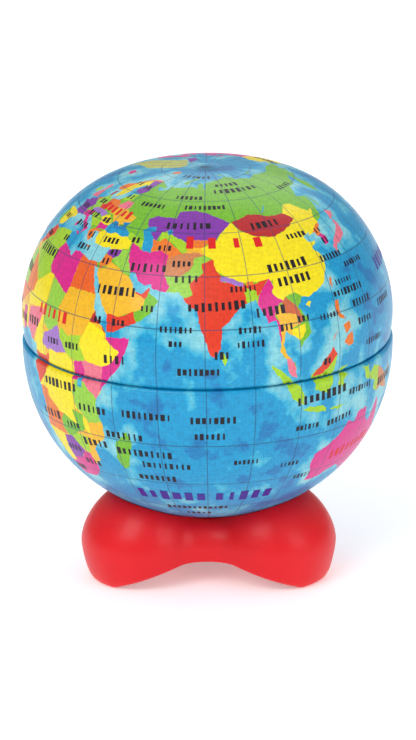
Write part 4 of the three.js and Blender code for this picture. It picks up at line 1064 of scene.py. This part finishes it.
def shell(name, replaced, body, printed, plain, north, start_distance, turn):
    """One printed shell in place of its CAD node, with its two finishes and smooth normals."""
    made = printed_sheet(name, printed, plain, north, start_distance, turn)
    mesh = made.data
    mesh.materials.append(PRINT)
    mesh.materials.append(TINNED)
    kinds = np.zeros(len(mesh.polygons))
    mesh.attributes["sheet_kind"].data.foreach_get("value", kinds)
    mesh.polygons.foreach_set("material_index", (np.abs(kinds - BARE_TIN) < 0.5).astype(int))
    side = -1 if north else 1
    whole = printed + plain
    clean = [p for i, p in enumerate(whole) if i == 0 or math.dist(p, whole[i - 1]) > SAME_PLACE]
    loop = clean + offset_path(clean, TIN, side)[::-1]
    loop = loop if north else loop[::-1]
    verts = np.array([tuple(v.co) for v in mesh.vertices])
    mesh.normals_split_custom_set_from_vertices([tuple(n) for n in profile_normals(verts, loop)])
    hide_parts(replaced)
    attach(made, body)
    return made


lid_printed, lid_plain = lid_path()
bowl_printed, bowl_plain = bowl_path()
BOTTOM_START = virtual_pole_distance()
shell("printed_lid", "upper_shell", "lid", lid_printed, lid_plain, True, 0.0, PRINT_TURN)
shell("printed_bowl", "lower_shell", "globe", bowl_printed, bowl_plain, False, BOTTOM_START,
      PRINT_TURN + SEAM_SLIP)

lid_frame = surface_of(lid_printed, True, 0.0, PRINT_TURN)
bowl_frame = surface_of(bowl_printed, False, BOTTOM_START, PRINT_TURN + SEAM_SLIP)
all_small = spread(CONTINENT_ROWS + GREAT_ROWS + larger(SEA_ROWS) + centre_rows())
small = [row for row in all_small if row not in GREAT_ROWS and row not in CONTINENT_ROWS]
DARK_INK = ink_of("dark_map_ink", "#16121A", "#211B26")
PURPLE_INK = ink_of("purple_map_ink", "#2E1486", "#381C90")
RED_INK = ink_of("red_map_ink", "#D01418", "#DB2022")
for title, rows, ink in (("small", small, DARK_INK), ("ocean", GREAT_ROWS, PURPLE_INK),
                         ("continent", CONTINENT_ROWS, RED_INK)):
    north_rows = [row for row in rows if row[1] > ROW_OFF_SEAM]
    south_rows = [row for row in rows if row[1] < -ROW_OFF_SEAM]
    printed_marks(f"lid_{title}_marks", north_rows, lid_frame, ink, "lid")
    printed_marks(f"bowl_{title}_marks", south_rows, bowl_frame, ink, "globe")


# ---------------------------------------------------------------- foot
LOBES = 3
BACK_LOBE = math.radians(90)
LOBE_DISTANCE, LOBE_RADIUS, WAIST = 12.5 * MM, 9.9 * MM, 12.4 * MM
ARCH, ARCH_CROWN, LANDING = 4.2 * MM, 0.4, 0.95
FOOT_WIDEST, FOOT_FLAT, FOOT_WALL, FOOT_ROOF = 6.3 * MM, 3 * MM, 1.9 * MM, 2 * MM
UNDERCUT, UNDERCUT_SPREAD, UNDERCUT_FULLNESS, SADDLE_FULLNESS = 1.9 * MM, 1.44, 1.5, 1.74
LOBE_RIM, WAIST_RIM = (11.9 * MM, 15.7 * MM), (9.6 * MM, 10.8 * MM)
PENCIL_R, TUBE_R = 4.1 * MM, 5 * MM
PLATE_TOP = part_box("base_plate")[1][2]
PLATE_SCREWS, HOLDER_SCREWS = 14 * MM, 6.4 * MM
ABOVE_FOOT = 17 * MM
FOOT_COLUMNS, CUP_COLUMNS, SCREW_COLUMNS = 288, 192, 32
CUP_STEPS = 48
BOSS_R, SCREW_HOLE_R = 2.2 * MM, 1.02 * MM
PILOT_RISE = 4.6 * MM  # of a plate screw's hole, above the plate
CREASE = math.radians(32)  # sharper edges than this stay sharp
FLAT_STEPS = 8
ROUNDING_PASSES = 8  # over the points at the foot's lower edge, which rounds it


def foot_reach(angle):
    """Distance from the axis to the foot's side: round lobes joined by hollow sides."""
    pitch = 2 * math.pi / LOBES
    half = pitch / 2
    from_lobe = abs((angle - BACK_LOBE + half) % pitch - half)
    along, beside = LOBE_DISTANCE * math.cos(half), LOBE_DISTANCE * math.sin(half)
    short = WAIST - along
    hollow = (LOBE_RADIUS**2 - short**2 - beside**2) / (2 * (short - LOBE_RADIUS))
    centre = WAIST + hollow
    share = LOBE_RADIUS / (LOBE_RADIUS + hollow)
    join_x = LOBE_DISTANCE + (centre * math.cos(half) - LOBE_DISTANCE) * share
    join_y = centre * math.sin(half) * share
    if from_lobe < math.atan2(join_y, join_x):
        aside = LOBE_DISTANCE * math.sin(from_lobe)
        return LOBE_DISTANCE * math.cos(from_lobe) + math.sqrt(LOBE_RADIUS**2 - aside**2)
    aside = centre * math.sin(half - from_lobe)
    return centre * math.cos(half - from_lobe) - math.sqrt(hollow**2 - aside**2)


def eased(share):
    share = min(max(share, 0), 1)
    return share * share * (3 - 2 * share)


def foot_section(angle, inset, drop, lower=14, upper=26):
    """One radial section of the foot's outer form, from its middle below to its middle above."""
    whole_reach = foot_reach(angle)
    lobed = (whole_reach - WAIST) / (LOBE_DISTANCE + LOBE_RADIUS - WAIST)
    raised = eased(lobed)
    reach = whole_reach - inset
    edge = reach - UNDERCUT * max(lobed, 0) ** UNDERCUT_SPREAD
    low = ARCH * (1 - eased(lobed / LANDING)) ** ARCH_CROWN - drop
    rim = WAIST_RIM[0] + (LOBE_RIM[0] - WAIST_RIM[0]) * raised - inset
    top = WAIST_RIM[1] + (LOBE_RIM[1] - WAIST_RIM[1]) * raised - inset
    section = [(edge - FOOT_FLAT * (1 - i / FLAT_STEPS), low) for i in range(FLAT_STEPS)]
    for i in range(lower):
        turn = (1 - i / lower) * math.pi / 2
        across = max(math.cos(turn), 0) ** (2 / UNDERCUT_FULLNESS)
        down = math.sin(turn) ** (2 / UNDERCUT_FULLNESS)
        section.append((edge + (reach - edge) * across, FOOT_WIDEST - (FOOT_WIDEST - low) * down))
    for i in range(upper + 1):
        turn = i / upper * math.pi / 2
        across = max(math.cos(turn), 0) ** (2 / SADDLE_FULLNESS)
        up = math.sin(turn) ** (2 / SADDLE_FULLNESS)
        section.append((rim + (reach - rim) * across, FOOT_WIDEST + (top - FOOT_WIDEST) * up))
    for _ in range(ROUNDING_PASSES):
        rounded = list(section)
        for i in range(1, FLAT_STEPS + lower - 3):
            rounded[i] = tuple(
                (before + 2 * here + after) / 4
                for before, here, after in zip(section[i - 1], section[i], section[i + 1])
            )
        section = rounded
    return section


def linked(name, verts, faces):
    mesh = bpy.data.meshes.new(name)
    mesh.from_pydata(verts, [], faces)
    made = bpy.data.objects.new(name, mesh)
    bpy.context.scene.collection.objects.link(made)
    return made


def lofted(name, section_at, columns):
    """A closed form from radial sections, its two ends closed on the axis."""
    sections = [section_at(2 * math.pi * i / columns) for i in range(columns)]
    count = len(sections[0])
    verts = []
    for i, section in enumerate(sections):
        angle = 2 * math.pi * i / columns
        verts += [(r * math.cos(angle), r * math.sin(angle), z) for r, z in section]
    faces = []
    for i in range(columns):
        here, then = i * count, (i + 1) % columns * count
        faces += [(here + k, then + k, then + k + 1, here + k + 1) for k in range(count - 1)]
    low = sum(s[0][1] for s in sections) / columns
    high = sum(s[-1][1] for s in sections) / columns
    bottom, top = len(verts), len(verts) + 1
    verts += [(0, 0, low), (0, 0, high)]
    for i in range(columns):
        here, then = i * count, (i + 1) % columns * count
        faces.append((bottom, then, here))
        faces.append((top, here + count - 1, then + count - 1))
    return linked(name, verts, faces)


def post(radius, bottom, top, x=0.0, y=0.0, columns=64):
    made = lofted("post", lambda _: [(radius, bottom), (radius, top)], columns)
    made.data.transform(Matrix.Translation((x, y, 0)))
    return made


def bowl_height(radius):
    across = (radius / GLOBE_R) ** BOWL_FULLNESS
    return BOWL_WIDEST - BOWL_DEPTH * (1 - across) ** (1 / BOWL_FULLNESS)


def above_cup(gap, floor):
    """Everything over the cup: the bowl's shape grown by a gap, with a flat bottom."""
    radii = [HOLE_R + (GLOBE_R * 0.9 - HOLE_R) * i / CUP_STEPS for i in range(CUP_STEPS + 1)]
    section = [(HOLE_R * 0.5, floor), (HOLE_R, floor)] + [(r, bowl_height(r) - gap) for r in radii[1:]]
    section.append((section[-1][0], section[-1][1] + MM))
    return lofted("cup", lambda _: section, CUP_COLUMNS)


def cut(target, tool, operation="DIFFERENCE"):
    rule = target.modifiers.new("cut", "BOOLEAN")
    rule.object, rule.operation, rule.solver = tool, operation, "EXACT"
    bpy.context.view_layer.update()
    made = bpy.data.meshes.new_from_object(target.evaluated_get(bpy.context.evaluated_depsgraph_get()))
    target.modifiers.clear()
    target.data = made
    bpy.data.objects.remove(tool)


def moulded_foot():
    """One red moulding, open below: cup on top, pencil tube, three bosses, screw holes."""
    platform = bowl_height(HOLE_R) - CUP_GAP
    hollow = lofted("hollow", lambda a: foot_section(a, FOOT_WALL, ARCH + MM), FOOT_COLUMNS)
    cut(hollow, above_cup(CUP_GAP + FOOT_ROOF, platform - FOOT_ROOF))
    cut(hollow, post(TUBE_R, PLATE_TOP, ABOVE_FOOT))
    angles = [BACK_LOBE + 2 * math.pi * i / LOBES for i in range(LOBES)]
    lobes = [(math.cos(angle), math.sin(angle)) for angle in angles]
    for x, y in lobes:
        cut(hollow, post(BOSS_R, PLATE_TOP, ABOVE_FOOT, PLATE_SCREWS * x, PLATE_SCREWS * y))
    foot = lofted("moulded_foot", lambda a: foot_section(a, 0, 0), FOOT_COLUMNS)
    cut(foot, above_cup(BRIM_GAP, platform))
    cut(foot, hollow)
    cut(foot, post(PENCIL_R, -MM, ABOVE_FOOT))
    for x, y in lobes:
        for circle, top in ((PLATE_SCREWS, PLATE_TOP + PILOT_RISE), (HOLDER_SCREWS, ABOVE_FOOT)):
            cut(foot, post(SCREW_HOLE_R, -MM, top, circle * x, circle * y, SCREW_COLUMNS))
    foot.data.polygons.foreach_set("use_smooth", [True] * len(foot.data.polygons))
    foot.data.set_sharp_from_angle(angle=CREASE)
    foot.data.materials.clear()
    foot.data.materials.append(RED_ABS)
    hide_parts("foot_shell")
    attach(foot, "foot")


moulded_foot()

FINISHES = {
    "base_plate": SATIN_RED_ABS,
    "sharpener_holder": WHITE_PP,
    "sharpener_body": CAST_ALLOY,
    "sharpener_blade": GROUND_STEEL,
}
for name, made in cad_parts.items():
    finish = FINISHES.get(name, ZINC if "screw" in name else None)
    if finish:
        made.data.materials.clear()
        made.data.materials.append(finish)


# ---------------------------------------------------------------- floor, light and camera
# Lamps: place in metres, side in metres, power in watts.
LAMPS = (
    ("key", (-0.3, -0.5, 0.5), 0.45, 2.3),
    ("fill", (0.5, -0.45, 0.25), 0.35, 0.9),
    ("rim", (0.1, 0.5, 0.5), 0.5, 1.0),
)


def studio():
    """A pale floor, a soft sky that the camera sees as plain white, and three lamps."""
    floor = linked(
        "floor",
        [(x * FLOOR_HALF, y * FLOOR_HALF, 0) for x, y in ((-1, -1), (1, -1), (1, 1), (-1, 1))],
        [(0, 1, 2, 3)],
    )
    floor.data.materials.append(
        grained("pale_paper_sweep", "#FBFBFB", "#FFFFFF", 9 * MM, 0.8, 0.95, 0.02, Specular_IOR_Level=0.1,
                Emission_Color=linear("#FFFFFF"), Emission_Strength=0.3)
    )
    world = bpy.data.worlds.new("studio")
    world.use_nodes = True
    tree = world.node_tree
    tree.nodes.clear()
    upward = node(tree, "ShaderNodeSeparateXYZ", Vector=node(
        tree, "ShaderNodeTexCoord").outputs["Generated"]).outputs["Z"]
    sky = node(
        tree, "ShaderNodeMapRange", Value=upward, From_Min=-0.1, From_Max=0.9, To_Min=0.25, To_Max=0.72
    ).outputs["Result"]
    seen = node(tree, "ShaderNodeLightPath").outputs["Is Camera Ray"]
    level = node(tree, "ShaderNodeMix", {"data_type": "FLOAT"}, i0=seen, i2=sky, i3=1.0).outputs[0]
    glow = node(tree, "ShaderNodeBackground", Color=linear("#FFFFFF"), Strength=level)
    node(tree, "ShaderNodeOutputWorld", Surface=glow.outputs["Background"])
    bpy.context.scene.world = world
    for name, place, size, power in LAMPS:
        lamp = bpy.data.lights.new(name, "AREA")
        lamp.shape, lamp.size, lamp.energy = "SQUARE", size, power
        holder = bpy.data.objects.new(name, lamp)
        holder.location = place
        aim = Vector((0, 0, SEAM_Z)) - Vector(place)
        holder.rotation_euler = aim.to_track_quat("-Z", "Y").to_euler()
        bpy.context.scene.collection.objects.link(holder)


ELEVATION, YAW, ROLL = math.radians(18.17), math.radians(1.8), math.radians(-0.63)
CAMERA_DISTANCE = 0.866
AIM_BELOW_SEAM = 6.05 * MM
SENSOR, LENS = 36, 260.1  # millimetres, as the camera takes them


def camera():
    lens = bpy.data.cameras.new("camera")
    lens.sensor_width, lens.lens = SENSOR, LENS
    holder = bpy.data.objects.new("camera", lens)
    bpy.context.scene.collection.objects.link(holder)
    back = Vector((
        math.sin(YAW) * math.cos(ELEVATION), -math.cos(YAW) * math.cos(ELEVATION), math.sin(ELEVATION)
    ))
    turn = (-back).to_track_quat("-Z", "Y").to_matrix()
    aim = Vector((0, 0, SEAM_Z)) - turn @ Vector((0, AIM_BELOW_SEAM, 0))
    holder.matrix_world = (
        Matrix.Translation(aim + back * CAMERA_DISTANCE) @ turn.to_4x4() @ Matrix.Rotation(ROLL, 4, "Z")
    )
    lens.clip_start, lens.clip_end = 0.01, 10
    bpy.context.scene.camera = holder


studio()
camera()
bpy.context.scene.view_settings.view_transform = "Standard"
